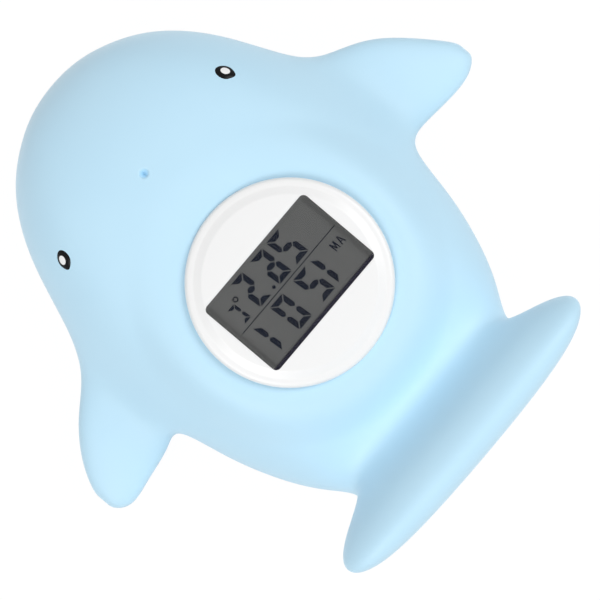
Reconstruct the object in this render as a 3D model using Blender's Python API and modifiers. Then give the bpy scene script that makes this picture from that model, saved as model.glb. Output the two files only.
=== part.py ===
"""A floating bath thermometer: a soft whale around a round electronic module.

Metres, +Z up. The whale's nose points to -Y and its flat belly rests on z = 0. The module
stands upright through the whale like a drum: its face lies on the back, and its base, with
the battery door, the two setting buttons and the temperature probe, shows in the belly.
"""
import math

import bmesh
import bpy
from mathutils import Matrix, Vector
from mathutils.bvhtree import BVHTree

MM = 0.001
# Sides of the large round shapes
ROUND = 36

# Fits between pieces
FIT = 0.3 * MM
THIN_FIT = 0.15 * MM

# Whale body
WALL = 2.4 * MM
# The hollow's cage is drawn in by more than the wall, because the skin slopes between sections
HOLLOW_SHARE = 1.3
SIDE_Z = 18.0 * MM
SEAT_Z = 40.0 * MM
FLAT_R = 25.0 * MM
FLAT_FADE = 11.0 * MM
# Each section: x, y, z of its middle at the widest level, lean in degrees, half width, height
# above the widest level, depth below it, and how far its two sides trail behind its middle.
SECTIONS = (
    (0.6, -59.3, 17.0, 0, 14.6, 10.5, 9.5, 0.0),
    (0.6, -53.4, 17.5, 0, 24.6, 16.0, 15.5, 0.0),
    (0.5, -41.0, 18.0, 0, 33.8, 21.5, 19.0, 0.0),
    (0.4, -23.5, 18.0, 0, 40.1, 23.5, 20.0, 0.0),
    (0.3, -13.0, 18.0, 0, 41.5, 24.0, 20.0, 0.0),
    (0.3, -2.5, 18.0, 0, 41.9, 24.0, 20.0, 0.0),
    (0.3, 7.5, 18.0, 0, 41.2, 24.0, 20.0, 0.0),
    (0.3, 20.0, 18.0, 0, 39.4, 23.5, 20.0, 0.0),
    (0.4, 32.0, 18.5, 3, 35.6, 21.0, 19.5, 0.0),
    (0.5, 42.0, 20.0, 15, 30.6, 15.5, 17.0, 0.0),
    (0.6, 49.5, 26.0, 42, 22.8, 8.5, 12.0, 0.0),
    (0.8, 53.8, 35.0, 60, 37.0, 6.6, 7.2, 0.5),
    (1.0, 56.7, 43.3, 55, 40.0, 6.5, 6.0, 2.0),
    (1.2, 59.6, 46.8, 35, 37.8, 5.5, 5.2, 0.8),
)
NOSE_Y = -62.4
TAIL_END = (61.8, 49.2)
SECTION_ANGLES = (11, 45, 75, 105, 135, 169, 191, 225, 255, 285, 315, 349)
SQUARENESS = 0.73
# The flippers grow from the sections between these two y values. The whale's own left is +X.
FLIPPER_ROOT = (-25.0, 10.0)
# Each flipper's cage beyond its root: distance of the row from the middle, the y of its front
# and rear corners, its middle height and its half thickness there.
FLIPPER_LEFT = (
    (45.0, -15.5, 10.0, 17.8, 4.2),
    (53.5, -10.6, 10.8, 17.2, 3.8),
    (60.5, -3.3, 12.3, 16.6, 3.2),
    (63.8, 3.5, 8.8, 16.3, 2.4),
)
FLIPPER_RIGHT = (
    (45.0, -19.7, 6.5, 17.8, 4.2),
    (53.5, -14.5, 7.6, 17.2, 3.8),
    (61.0, -6.0, 7.6, 16.6, 3.2),
    (64.9, -0.6, 4.8, 16.3, 2.4),
)

# Eyes and blowhole, placed as seen from above
EYE_MIDDLE = 0.8 * MM
EYE_APART = 27.0 * MM
EYE_Y = -34.1 * MM
EYE_LENGTH = 5.8 * MM
EYE_WIDTH = 4.3 * MM
EYE_THICK = 1.5 * MM
EYE_TURN = 23.0
BLOWHOLE_X = 2.2 * MM
BLOWHOLE_Y = -32.7 * MM
BLOWHOLE_R = 1.5 * MM
BLOWHOLE_DEPTH = 0.8 * MM

# Module: the drum and its face, all sized from the neck
MODULE_Y = 6.5 * MM
NECK_R = 21.6 * MM
FLANGE_LAP = 1.2 * MM
FLANGE_BORDER = 2.0 * MM
CASE_WALL = 1.5 * MM
FACE_RISE = 2.6 * MM
FACE_PLATE = 1.6 * MM
BEAD_PROUD = 0.8 * MM
SPLIT_Z = 28.0 * MM
REAR_WALL = 1.8 * MM
SPIGOT_RISE = 4.5 * MM
COLLAR_HIGH = 2.0 * MM
BASE_Z = 1.2 * MM
FLOOR = 2.0 * MM
FRONT_R = NECK_R - CASE_WALL
FLANGE_R = NECK_R + FLANGE_LAP
CREASE_R = FLANGE_R - FLANGE_BORDER
REAR_R = FRONT_R - FIT
REAR_INNER_R = REAR_R - REAR_WALL

# Display, placed and sized by its distance from the inside of the front case
LENS_MARGIN_X = 3.6 * MM
LENS_MARGIN_Y = 9.85 * MM
LENS_THICK = 0.8 * MM
LENS_CORNER = 1.1 * MM
LENS_LEDGE = 0.6 * MM
LENS_POCKET = 1.0 * MM
LENS_X = 2 * (FRONT_R - LENS_MARGIN_X)
LENS_Y = 2 * (FRONT_R - LENS_MARGIN_Y)
LCD_OVER_X = 0.2 * MM
LCD_OVER_Y = 0.3 * MM
LCD_THICK = 2.0 * MM
LCD_X = LENS_X + LCD_OVER_X
LCD_Y = LENS_Y + LCD_OVER_Y
ZEBRA_HIGH = 2.9 * MM
ZEBRA_WIDE = 1.6 * MM
ZEBRA_SHORT = 4.2 * MM
ZEBRA_LONG = LCD_X - ZEBRA_SHORT
BOARD = 1.2 * MM
BOARD_SCREW_IN_X = 11.1 * MM
BOARD_SCREW_IN_Y = 6.1 * MM
BOARD_SCREW_X = FRONT_R - BOARD_SCREW_IN_X
BOARD_SCREW_Y = FRONT_R - BOARD_SCREW_IN_Y
RIBBON_IN = 9.1 * MM
RIBBON_Y = RIBBON_IN - FRONT_R

# Screws
SCREW_R = 0.85 * MM
SCREW_HEAD_R = 1.7 * MM
SCREW_HEAD = 1.1 * MM
DOOR_HEAD = 0.6 * MM
BOSS_R = 2.1 * MM

# Base: cell, door, buttons and probe, each kept its own distance from the inside of the wall
CELL_IN = 8.0 * MM
CELL_R = REAR_INNER_R - CELL_IN
CELL_THICK = 3.2 * MM
CELL_Y = -3.8 * MM
CELL_GAP = 0.4 * MM
DOOR_LAP = 2.0 * MM
DOOR_R = CELL_R + DOOR_LAP
DOOR_THICK = 1.8 * MM
SEAL_R = 0.35 * MM
DOOR_EAR_R = 2.6 * MM
RING_WALL = 1.3 * MM
CELL_HEADROOM = 3.1 * MM
CLIP_WIDE = 4.0 * MM
BUTTON_IN_X = 9.2 * MM
BUTTON_IN_Y = 6.8 * MM
BUTTON_X = REAR_INNER_R - BUTTON_IN_X
BUTTON_Y = REAR_INNER_R - BUTTON_IN_Y
BUTTON_R = 2.2 * MM
BUTTON_PROUD = 0.5 * MM
BUTTON_TRAVEL = 0.5 * MM
SWITCH_SIDE = 4.4 * MM
SWITCH_HIGH = 1.6 * MM
PLUNGER = 0.5 * MM
PROBE_IN = 4.4 * MM
PROBE_Y = REAR_INNER_R - PROBE_IN
PROBE_R = 2.0 * MM
PROBE_WALL = 0.35 * MM
PROBE_PROUD = 0.8 * MM
LOWER_SCREW_IN = 3.6 * MM
LOWER_SCREW_X = REAR_INNER_R - LOWER_SCREW_IN
LOWER_SCREW_Y = 4.4 * MM

# Heights that follow from the sizes above
FLANGE_Z = SEAT_Z + FIT
FACE_Z = FLANGE_Z + FACE_RISE
PLATE_Z = FACE_Z - FACE_PLATE
LCD_TOP = PLATE_Z - THIN_FIT
LCD_BASE = LCD_TOP - LCD_THICK
ZEBRA_BASE = LCD_BASE - THIN_FIT - ZEBRA_HIGH
BOARD_TOP = ZEBRA_BASE - THIN_FIT
BOARD_BASE = BOARD_TOP - BOARD
FLOOR_TOP = BASE_Z + FLOOR
DOOR_TOP = BASE_Z + DOOR_THICK
CELL_BASE = DOOR_TOP + FIT
CELL_TOP = CELL_BASE + CELL_THICK
LOWER_BASE = CELL_TOP + FIT + CELL_HEADROOM
LOWER_TOP = LOWER_BASE + BOARD
CELL_RING_R = DOOR_R + FIT + RING_WALL


def clear_scene():
    for obj in list(bpy.data.objects):
        bpy.data.objects.remove(obj, do_unlink=True)


def collection_named(name):
    made = bpy.data.collections.new(name)
    bpy.context.scene.collection.children.link(made)
    return made


def material(name, colour, roughness, metallic=0.0):
    made = bpy.data.materials.new(name)
    made.use_nodes = True
    shader = made.node_tree.nodes["Principled BSDF"]
    shader.inputs["Base Color"].default_value = (*colour, 1.0)
    shader.inputs["Roughness"].default_value = roughness
    shader.inputs["Metallic"].default_value = metallic
    made.diffuse_color = (*colour, 1.0)
    return made


def adopt(name, where, finish=None):
    """Names the object an operator just added, and moves it to its collection."""
    obj = bpy.context.active_object
    obj.name = name
    for old in list(obj.users_collection):
        old.objects.unlink(obj)
    where.objects.link(obj)
    if finish:
        obj.data.materials.append(finish)
    obj.data.shade_smooth()
    obj.data.set_sharp_from_angle(angle=math.radians(35))
    return obj


def as_cutter(obj):
    obj.hide_render = True
    obj.display_type = "WIRE"
    return obj


def combine(obj, other, operation):
    step = obj.modifiers.new(f"{operation.lower()} {other.name}", "BOOLEAN")
    step.operation = operation
    step.object = other
    step.solver = "EXACT"


def cut(obj, *cutters):
    for cutter in cutters:
        combine(obj, cutter, "DIFFERENCE")


def join(obj, *others):
    for other in others:
        combine(obj, other, "UNION")


def cylinder(name, where, finish, radius, low, high, at=(0.0, 0.0), sides=24):
    """An upright cylinder, placed from the drum's axis."""
    bpy.ops.mesh.primitive_cylinder_add(
        vertices=sides, radius=radius, depth=high - low,
        location=(at[0], MODULE_Y + at[1], (low + high) / 2),
    )
    return adopt(name, where, finish)


def plate(name, where, finish, size_x, size_y, low, high, at=(0.0, 0.0), corner=0.0):
    """A flat block with its upright edges rounded, placed from the drum's axis."""
    bpy.ops.mesh.primitive_cube_add(size=1.0)
    obj = adopt(name, where, finish)
    shape = bmesh.new()
    shape.from_mesh(obj.data)
    bmesh.ops.scale(shape, verts=shape.verts, vec=(size_x, size_y, high - low))
    if corner:
        upright = [e for e in shape.edges if abs((e.verts[0].co - e.verts[1].co).z) > 1e-9]
        bmesh.ops.bevel(shape, geom=upright, offset=corner, segments=3, affect="EDGES", profile=0.5)
    shape.to_mesh(obj.data)
    shape.free()
    obj.location = (at[0], MODULE_Y + at[1], (low + high) / 2)
    return obj


def turned(name, where, finish, profile, at=(0.0, 0.0), sides=ROUND):
    """A profile of (radius, height) points turned about an upright axis."""
    mesh = bpy.data.meshes.new(name)
    shape = bmesh.new()
    points = [shape.verts.new((r, 0.0, z)) for r, z in profile]
    for first, second in zip(points, points[1:]):
        shape.edges.new((first, second))
    shape.to_mesh(mesh)
    shape.free()
    obj = bpy.data.objects.new(name, mesh)
    where.objects.link(obj)
    if finish:
        mesh.materials.append(finish)
    obj.location = (at[0], MODULE_Y + at[1], 0.0)
    turn = obj.modifiers.new("turn", "SCREW")
    turn.axis = "Z"
    turn.angle = math.tau
    turn.steps = sides
    turn.render_steps = sides
    turn.use_merge_vertices = True
    turn.merge_threshold = 0.00001
    turn.use_smooth_shade = False
    return obj


def seal_ring(name, where, finish, ring_radius, cord_radius, height, at=(0.0, 0.0)):
    bpy.ops.mesh.primitive_torus_add(
        major_segments=ROUND, minor_segments=6, major_radius=ring_radius, minor_radius=cord_radius,
        location=(at[0], MODULE_Y + at[1], height),
    )
    return adopt(name, where, finish)


def strip(name, where, finish, path, width, thick, at=(0.0, 0.0)):
    """A bent strip of sheet: a path of (y, z) points swept along x, given its thickness."""
    mesh = bpy.data.meshes.new(name)
    shape = bmesh.new()
    rows = [
        [shape.verts.new((side * width / 2, y, z)) for side in (-1, 1)]
        for y, z in path
    ]
    for first, second in zip(rows, rows[1:]):
        shape.faces.new((first[0], first[1], second[1], second[0]))
    shape.to_mesh(mesh)
    shape.free()
    obj = bpy.data.objects.new(name, mesh)
    where.objects.link(obj)
    mesh.materials.append(finish)
    obj.location = (at[0], MODULE_Y + at[1], 0.0)
    sheet = obj.modifiers.new("sheet", "SOLIDIFY")
    sheet.thickness = thick
    sheet.offset = 0.0
    return obj


def screw(name, where, finish, at, head_low, head_high, tip_z):
    """A small pan-head screw: its shank runs from the head towards tip_z."""
    upward = tip_z > head_high
    shank_end = head_high if upward else head_low
    head_far = head_low if upward else head_high
    edge = 0.25 * SCREW_HEAD_R
    ease = edge if upward else -edge
    profile = [
        (0.0, head_far),
        (SCREW_HEAD_R - edge, head_far),
        (SCREW_HEAD_R, head_far + ease),
        (SCREW_HEAD_R, shank_end),
        (SCREW_R, shank_end),
        (SCREW_R, tip_z - (SCREW_R if upward else -SCREW_R)),
        (0.0, tip_z),
    ]
    if upward:
        profile.reverse()
    return turned(name, where, finish, profile, at=at, sides=12)


def signed_power(value, power):
    return math.copysign(abs(value) ** power, value)


def section_points(section, inset):
    """The cage points of one cross-section, drawn in by the wall thickness."""
    x, y, z, _, half, above, below, trail = (value * MM for value in section)
    lean = math.radians(section[3])
    ahead = Vector((0.0, math.cos(lean), math.sin(lean)))
    over = Vector((0.0, -math.sin(lean), math.cos(lean)))
    points = []
    for angle in SECTION_ANGLES:
        across = signed_power(math.cos(math.radians(angle)), SQUARENESS)
        rise = signed_power(math.sin(math.radians(angle)), SQUARENESS)
        reach = (above if rise > 0 else below) - inset
        points.append(
            Vector((x + across * (half - inset), y, z))
            + over * rise * reach
            - ahead * trail * across * across
        )
    return points


def close_end(shape, ring, tip, across, through):
    """Closes a ring of 12 points with 9 faces; the inner 4 points lie around the tip."""
    middle = sum((v.co for v in ring), Vector()) / len(ring)
    inner = {}
    for corner in (1, 4, 7, 10):
        offset = ring[corner].co - middle
        spot = Vector((offset.x * across, offset.y * through, offset.z * through))
        inner[corner] = shape.verts.new(tip + spot)
    for corner, following in ((1, 4), (4, 7), (7, 10), (10, 1)):
        before, after, far = (corner - 1) % 12, (corner + 1) % 12, (corner + 2) % 12
        shape.faces.new((ring[before], ring[corner], ring[after], inner[corner]))
        shape.faces.new((inner[corner], ring[after], ring[far], inner[following]))
    shape.faces.new([inner[c] for c in (1, 4, 7, 10)])


def loft(shape, rings):
    for first, second in zip(rings, rings[1:]):
        for i in range(len(first)):
            j = (i + 1) % len(first)
            shape.faces.new((first[i], first[j], second[j], second[i]))


def grow_flipper(shape, rings, side, rows):
    """Draws the side strip between two sections out into a flipper, row by row."""
    upper, lower = (0, 11) if side > 0 else (5, 6)
    front_end, rear_end = FLIPPER_ROOT
    roots = [
        ring for ring, section in zip(rings, SECTIONS) if front_end < section[1] < rear_end
    ]
    tops = [ring[upper] for ring in roots]
    bottoms = [ring[lower] for ring in roots]
    strip_faces = [
        face for face in shape.faces if all(vert in tops or vert in bottoms for vert in face.verts)
    ]
    for x, front, rear, middle, thick in rows:
        grown = bmesh.ops.extrude_face_region(shape, geom=strip_faces)
        fresh = [g for g in grown["geom"] if isinstance(g, bmesh.types.BMVert)]
        bmesh.ops.delete(shape, geom=strip_faces, context="FACES_ONLY")
        tops, bottoms = (
            [min(fresh, key=lambda v, o=old: (v.co - o.co).length) for old in row]
            for row in (tops, bottoms)
        )
        for i, (top, bottom) in enumerate(zip(tops, bottoms)):
            share = i / (len(roots) - 1)
            y = front + (rear - front) * share
            bow = math.sin(math.pi * share)
            top.co = Vector((side * x, y, middle + thick * (0.75 + 0.35 * bow))) * MM
            bottom.co = Vector((side * x, y, middle - thick * (0.75 + 0.35 * bow))) * MM
        strip_faces = [g for g in grown["geom"] if isinstance(g, bmesh.types.BMFace)]


def whale_form(name, inset, with_flippers, levels):
    """The whale's outer form, or the hollow inside it when inset is the wall thickness."""
    mesh = bpy.data.meshes.new(name)
    shape = bmesh.new()
    sections = SECTIONS if with_flippers else SECTIONS[1:11]
    rings = [
        [shape.verts.new(spot) for spot in section_points(section, inset * HOLLOW_SHARE)]
        for section in sections
    ]
    loft(shape, rings)
    nose = Vector((SECTIONS[0][0] * MM, NOSE_Y * MM + inset, SECTIONS[0][2] * MM))
    close_end(shape, rings[0][::-1], nose, 0.5, 0.5)
    if with_flippers:
        tail = Vector((SECTIONS[-1][0], *TAIL_END)) * MM
        close_end(shape, rings[-1], tail, 0.85, 0.6)
        grow_flipper(shape, rings, 1, FLIPPER_LEFT)
        grow_flipper(shape, rings, -1, FLIPPER_RIGHT)
    else:
        middle = sum((v.co for v in rings[-1]), Vector()) / len(rings[-1])
        close_end(shape, rings[-1], middle + Vector((0.0, 0.8, 0.6)) * inset, 0.5, 0.5)
    bmesh.ops.recalc_face_normals(shape, faces=shape.faces)
    shape.to_mesh(mesh)
    shape.free()
    obj = bpy.data.objects.new(name, mesh)
    bpy.context.scene.collection.objects.link(obj)
    smooth = obj.modifiers.new("smooth", "SUBSURF")
    smooth.levels = levels
    smooth.render_levels = levels
    graph = bpy.context.evaluated_depsgraph_get()
    made = bpy.data.meshes.new_from_object(obj.evaluated_get(graph))
    flatten_for_module(made, inset)
    bpy.data.objects.remove(obj, do_unlink=True)
    solid = bpy.data.objects.new(name, made)
    return solid


def flatten_for_module(mesh, inset):
    """Levels the back around the module, and the belly that the whale rests on."""
    seat = SEAT_Z - inset
    belly = inset
    for vert in mesh.vertices:
        spot = vert.co
        away = math.hypot(spot.x, spot.y - MODULE_Y)
        share = min(1.0, max(0.0, (away - FLAT_R) / FLAT_FADE))
        hold = 1.0 - share * share * (3.0 - 2.0 * share)
        level = seat if spot.z > SIDE_Z else belly
        spot.z = max(spot.z + (level - spot.z) * hold, belly)
        vert.co = spot


def surface_at(tree, x, y):
    """The point and normal of the skin straight below a point above the whale."""
    spot, normal, _, _ = tree.ray_cast(Vector((x, y, 2 * SEAT_Z)), Vector((0.0, 0.0, -1.0)))
    return spot, normal


def eye_matrix(normal, side):
    """The turn of an eye: z out of the skin, x along the eye's length."""
    turn = math.radians(EYE_TURN)
    along = Vector((side * math.sin(turn), math.cos(turn), 0.0))
    along = (along - normal * along.dot(normal)).normalized()
    return Matrix((along, normal.cross(along), normal)).transposed().to_4x4()


def eye_shape(name, where, finish, tree, side, grow):
    spot, normal = surface_at(tree, EYE_MIDDLE + side * EYE_APART, EYE_Y)
    bpy.ops.mesh.primitive_uv_sphere_add(segments=16, ring_count=8, radius=1.0)
    obj = adopt(name, where, finish)
    half = Vector((EYE_LENGTH, EYE_WIDTH, EYE_THICK)) / 2
    obj.data.transform(Matrix.Diagonal((half.x + grow, half.y + grow, half.z + grow, 1.0)))
    sink = EYE_THICK * 0.3
    obj.matrix_world = Matrix.Translation(spot - normal * sink) @ eye_matrix(normal, side)
    return obj


def soft_body(parts, cutters):
    vinyl = material("pale_blue_vinyl", (0.56, 0.80, 0.93), 0.55)
    eye_black = material("eye_black", (0.02, 0.02, 0.025), 0.3)
    body = whale_form("soft_body", 0.0, True, 2)
    body.data.materials.append(vinyl)
    parts.objects.link(body)
    tree = BVHTree.FromPolygons(
        [v.co.copy() for v in body.data.vertices],
        [tuple(p.vertices) for p in body.data.polygons],
    )
    hollow = whale_form("hollow", WALL, False, 1)
    cutters.objects.link(hollow)
    opening = cylinder(
        "back_opening", cutters, None, NECK_R + FIT, SEAT_Z - 2 * WALL, SEAT_Z + 2 * WALL, sides=ROUND
    )
    port = cylinder("belly_port", cutters, None, REAR_INNER_R + FIT, -WALL, 2 * WALL, sides=ROUND)
    bpy.ops.mesh.primitive_uv_sphere_add(segments=12, ring_count=8, radius=BLOWHOLE_R)
    blowhole = adopt("blowhole", cutters)
    skin, _ = surface_at(tree, BLOWHOLE_X, BLOWHOLE_Y)
    blowhole.location = skin + Vector((0.0, 0.0, BLOWHOLE_R - BLOWHOLE_DEPTH))
    for tool in (hollow, opening, port, blowhole):
        cut(body, as_cutter(tool))
    for word, side in (("left", 1), ("right", -1)):
        eye_shape(f"eye_{word}", parts, eye_black, tree, side, 0.0)
        pocket = eye_shape(f"eye_pocket_{word}", cutters, None, tree, side, FIT)
        cut(body, as_cutter(pocket))
    body.data.shade_smooth()
    return body


def front_case(parts, cutters):
    white = material("white_case", (0.93, 0.93, 0.92), 0.35)
    lip_under = SEAT_Z - WALL
    bead_r = NECK_R + BEAD_PROUD
    bead_top = lip_under - FIT
    edge = 0.3 * MM
    skirt_end = SPLIT_Z + THIN_FIT
    case = turned(
        "front_case", parts, white,
        [
            (0.0, FACE_Z),
            (CREASE_R - 1.2 * MM, FACE_Z),
            (CREASE_R - 0.4 * MM, FACE_Z - 0.1 * MM),
            (CREASE_R + 0.3 * MM, FACE_Z - 0.5 * MM),
            (FLANGE_R - 0.6 * MM, FACE_Z - 1.05 * MM),
            (FLANGE_R - 0.1 * MM, FACE_Z - 1.5 * MM),
            (FLANGE_R, FACE_Z - 1.9 * MM),
            (FLANGE_R, FLANGE_Z + edge),
            (FLANGE_R - edge, FLANGE_Z),
            (NECK_R, FLANGE_Z),
            (NECK_R, bead_top),
            (bead_r, bead_top - BEAD_PROUD / 2),
            (bead_r, bead_top - BEAD_PROUD),
            (NECK_R, bead_top - 2.5 * BEAD_PROUD),
            (NECK_R, skirt_end),
            (FRONT_R, skirt_end),
            (FRONT_R, PLATE_Z),
            (0.0, PLATE_Z),
        ],
    )
    pocket_floor = FACE_Z - LENS_POCKET
    pocket = plate(
        "lens_pocket", cutters, None, LENS_X + 2 * THIN_FIT, LENS_Y + 2 * THIN_FIT,
        pocket_floor, FACE_Z + FIT, corner=LENS_CORNER,
    )
    window = plate(
        "window", cutters, None, LENS_X - 2 * LENS_LEDGE, LENS_Y - 2 * LENS_LEDGE,
        PLATE_Z - FIT, FACE_Z, corner=LENS_CORNER / 2,
    )
    for x in (-BOARD_SCREW_X, BOARD_SCREW_X):
        for y in (-BOARD_SCREW_Y, BOARD_SCREW_Y):
            boss = cylinder(
                "screw_boss", cutters, None, BOSS_R, BOARD_TOP + FIT,
                PLATE_Z + FACE_PLATE / 2, at=(x, y), sides=16,
            )
            join(case, as_cutter(boss))
            pilot = cylinder(
                "screw_pilot", cutters, None, SCREW_R + FIT, BOARD_TOP, PLATE_Z - FIT,
                at=(x, y), sides=12,
            )
            cut(case, as_cutter(pilot))
    cut(case, as_cutter(pocket), as_cutter(window))
    return case


def display(parts):
    clear = material("clear_lens", (0.75, 0.77, 0.80), 0.05)
    grey_glass = material("lcd_grey", (0.12, 0.12, 0.12), 0.15)
    rubber = material("zebra_rubber", (0.30, 0.31, 0.36), 0.7)
    white_film = material("reflector_white", (0.85, 0.85, 0.83), 0.5)
    lens_low = FACE_Z - LENS_POCKET + THIN_FIT
    plate(
        "display_lens", parts, clear, LENS_X, LENS_Y, lens_low, lens_low + LENS_THICK,
        corner=LENS_CORNER,
    )
    plate("lcd_panel", parts, grey_glass, LCD_X, LCD_Y, LCD_BASE, LCD_TOP)
    zebra_y = LCD_Y / 2 - ZEBRA_WIDE
    for word, y in (("front", -zebra_y), ("rear", zebra_y)):
        plate(
            f"zebra_strip_{word}", parts, rubber, ZEBRA_LONG, ZEBRA_WIDE,
            ZEBRA_BASE, ZEBRA_BASE + ZEBRA_HIGH, at=(0.0, y),
        )
    plate(
        "reflector_plate", parts, white_film, ZEBRA_LONG,
        2 * zebra_y - ZEBRA_WIDE - 2 * FIT, ZEBRA_BASE + FIT, ZEBRA_BASE + ZEBRA_HIGH,
    )


def main_board(parts, cutters):
    laminate = material("green_laminate", (0.05, 0.25, 0.12), 0.4)
    epoxy = material("black_epoxy", (0.02, 0.02, 0.02), 0.35)
    tin = material("tin_plate", (0.75, 0.75, 0.76), 0.25, 1.0)
    ceramic = material("tan_ceramic", (0.55, 0.42, 0.28), 0.5)
    steel = material("zinc_steel", (0.70, 0.70, 0.72), 0.3, 1.0)
    board = cylinder(
        "main_board", parts, laminate, FRONT_R - FIT, BOARD_BASE, BOARD_TOP, sides=ROUND
    )
    number = 0
    for x in (-BOARD_SCREW_X, BOARD_SCREW_X):
        for y in (-BOARD_SCREW_Y, BOARD_SCREW_Y):
            number += 1
            hole = cylinder(
                "board_hole", cutters, None, SCREW_R + FIT, BOARD_BASE - FIT, BOARD_TOP + FIT,
                at=(x, y), sides=12,
            )
            cut(board, as_cutter(hole))
            head_high = BOARD_BASE - FIT
            screw(
                f"board_screw_{number}", parts, steel, (x, y),
                head_high - SCREW_HEAD, head_high, PLATE_Z - 2 * FACE_PLATE,
            )
    under = BOARD_BASE - FIT
    chip_r = 3.6 * MM
    chip_high = 1.5 * MM
    dome = [
        (chip_r * math.cos(step * math.pi / 10), under - chip_high * math.sin(step * math.pi / 10))
        for step in range(5)
    ]
    turned(
        "controller_chip", parts, epoxy,
        [(0.0, under), *dome, (0.0, under - chip_high)], at=(-4.5 * MM, 4.0 * MM), sides=24,
    )
    crystal_r = 1.0 * MM
    bpy.ops.mesh.primitive_cylinder_add(
        vertices=16, radius=crystal_r, depth=6.0 * MM,
        location=(8.0 * MM, MODULE_Y + 2.0 * MM, under - crystal_r),
        rotation=(math.pi / 2, 0.0, 0.0),
    )
    adopt("clock_crystal", parts, tin)
    for name, x, y, finish in (
        ("capacitor_1", 3.5, -3.5, ceramic),
        ("capacitor_2", 7.0, -5.5, ceramic),
        ("resistor", -5.0, -4.0, epoxy),
    ):
        plate(
            name, parts, finish, 2.0 * MM, 1.3 * MM, under - 0.9 * MM, under, at=(x * MM, y * MM)
        )


def ribbon(parts):
    black = material("connector_black", (0.03, 0.03, 0.03), 0.45)
    film = material("ribbon_white", (0.80, 0.80, 0.76), 0.5)
    wide = 8.0 * MM
    body_high = 1.6 * MM
    top_end = BOARD_BASE - FIT
    low_end = LOWER_TOP + FIT
    for name, low in (("upper_connector", top_end - body_high), ("lower_connector", low_end)):
        plate(
            name, parts, black, wide + 2 * MM, 3.0 * MM, low, low + body_high, at=(0.0, RIBBON_Y)
        )
    start = top_end - body_high - FIT
    end = low_end + body_high + FIT
    bow = 3.0 * MM
    steps = 10
    path = []
    for step in range(steps + 1):
        share = step / steps
        path.append((bow * math.sin(math.tau * share), start + (end - start) * share))
    strip("ribbon_cable", parts, film, path, wide, 0.4 * MM, at=(0.0, RIBBON_Y))


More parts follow.
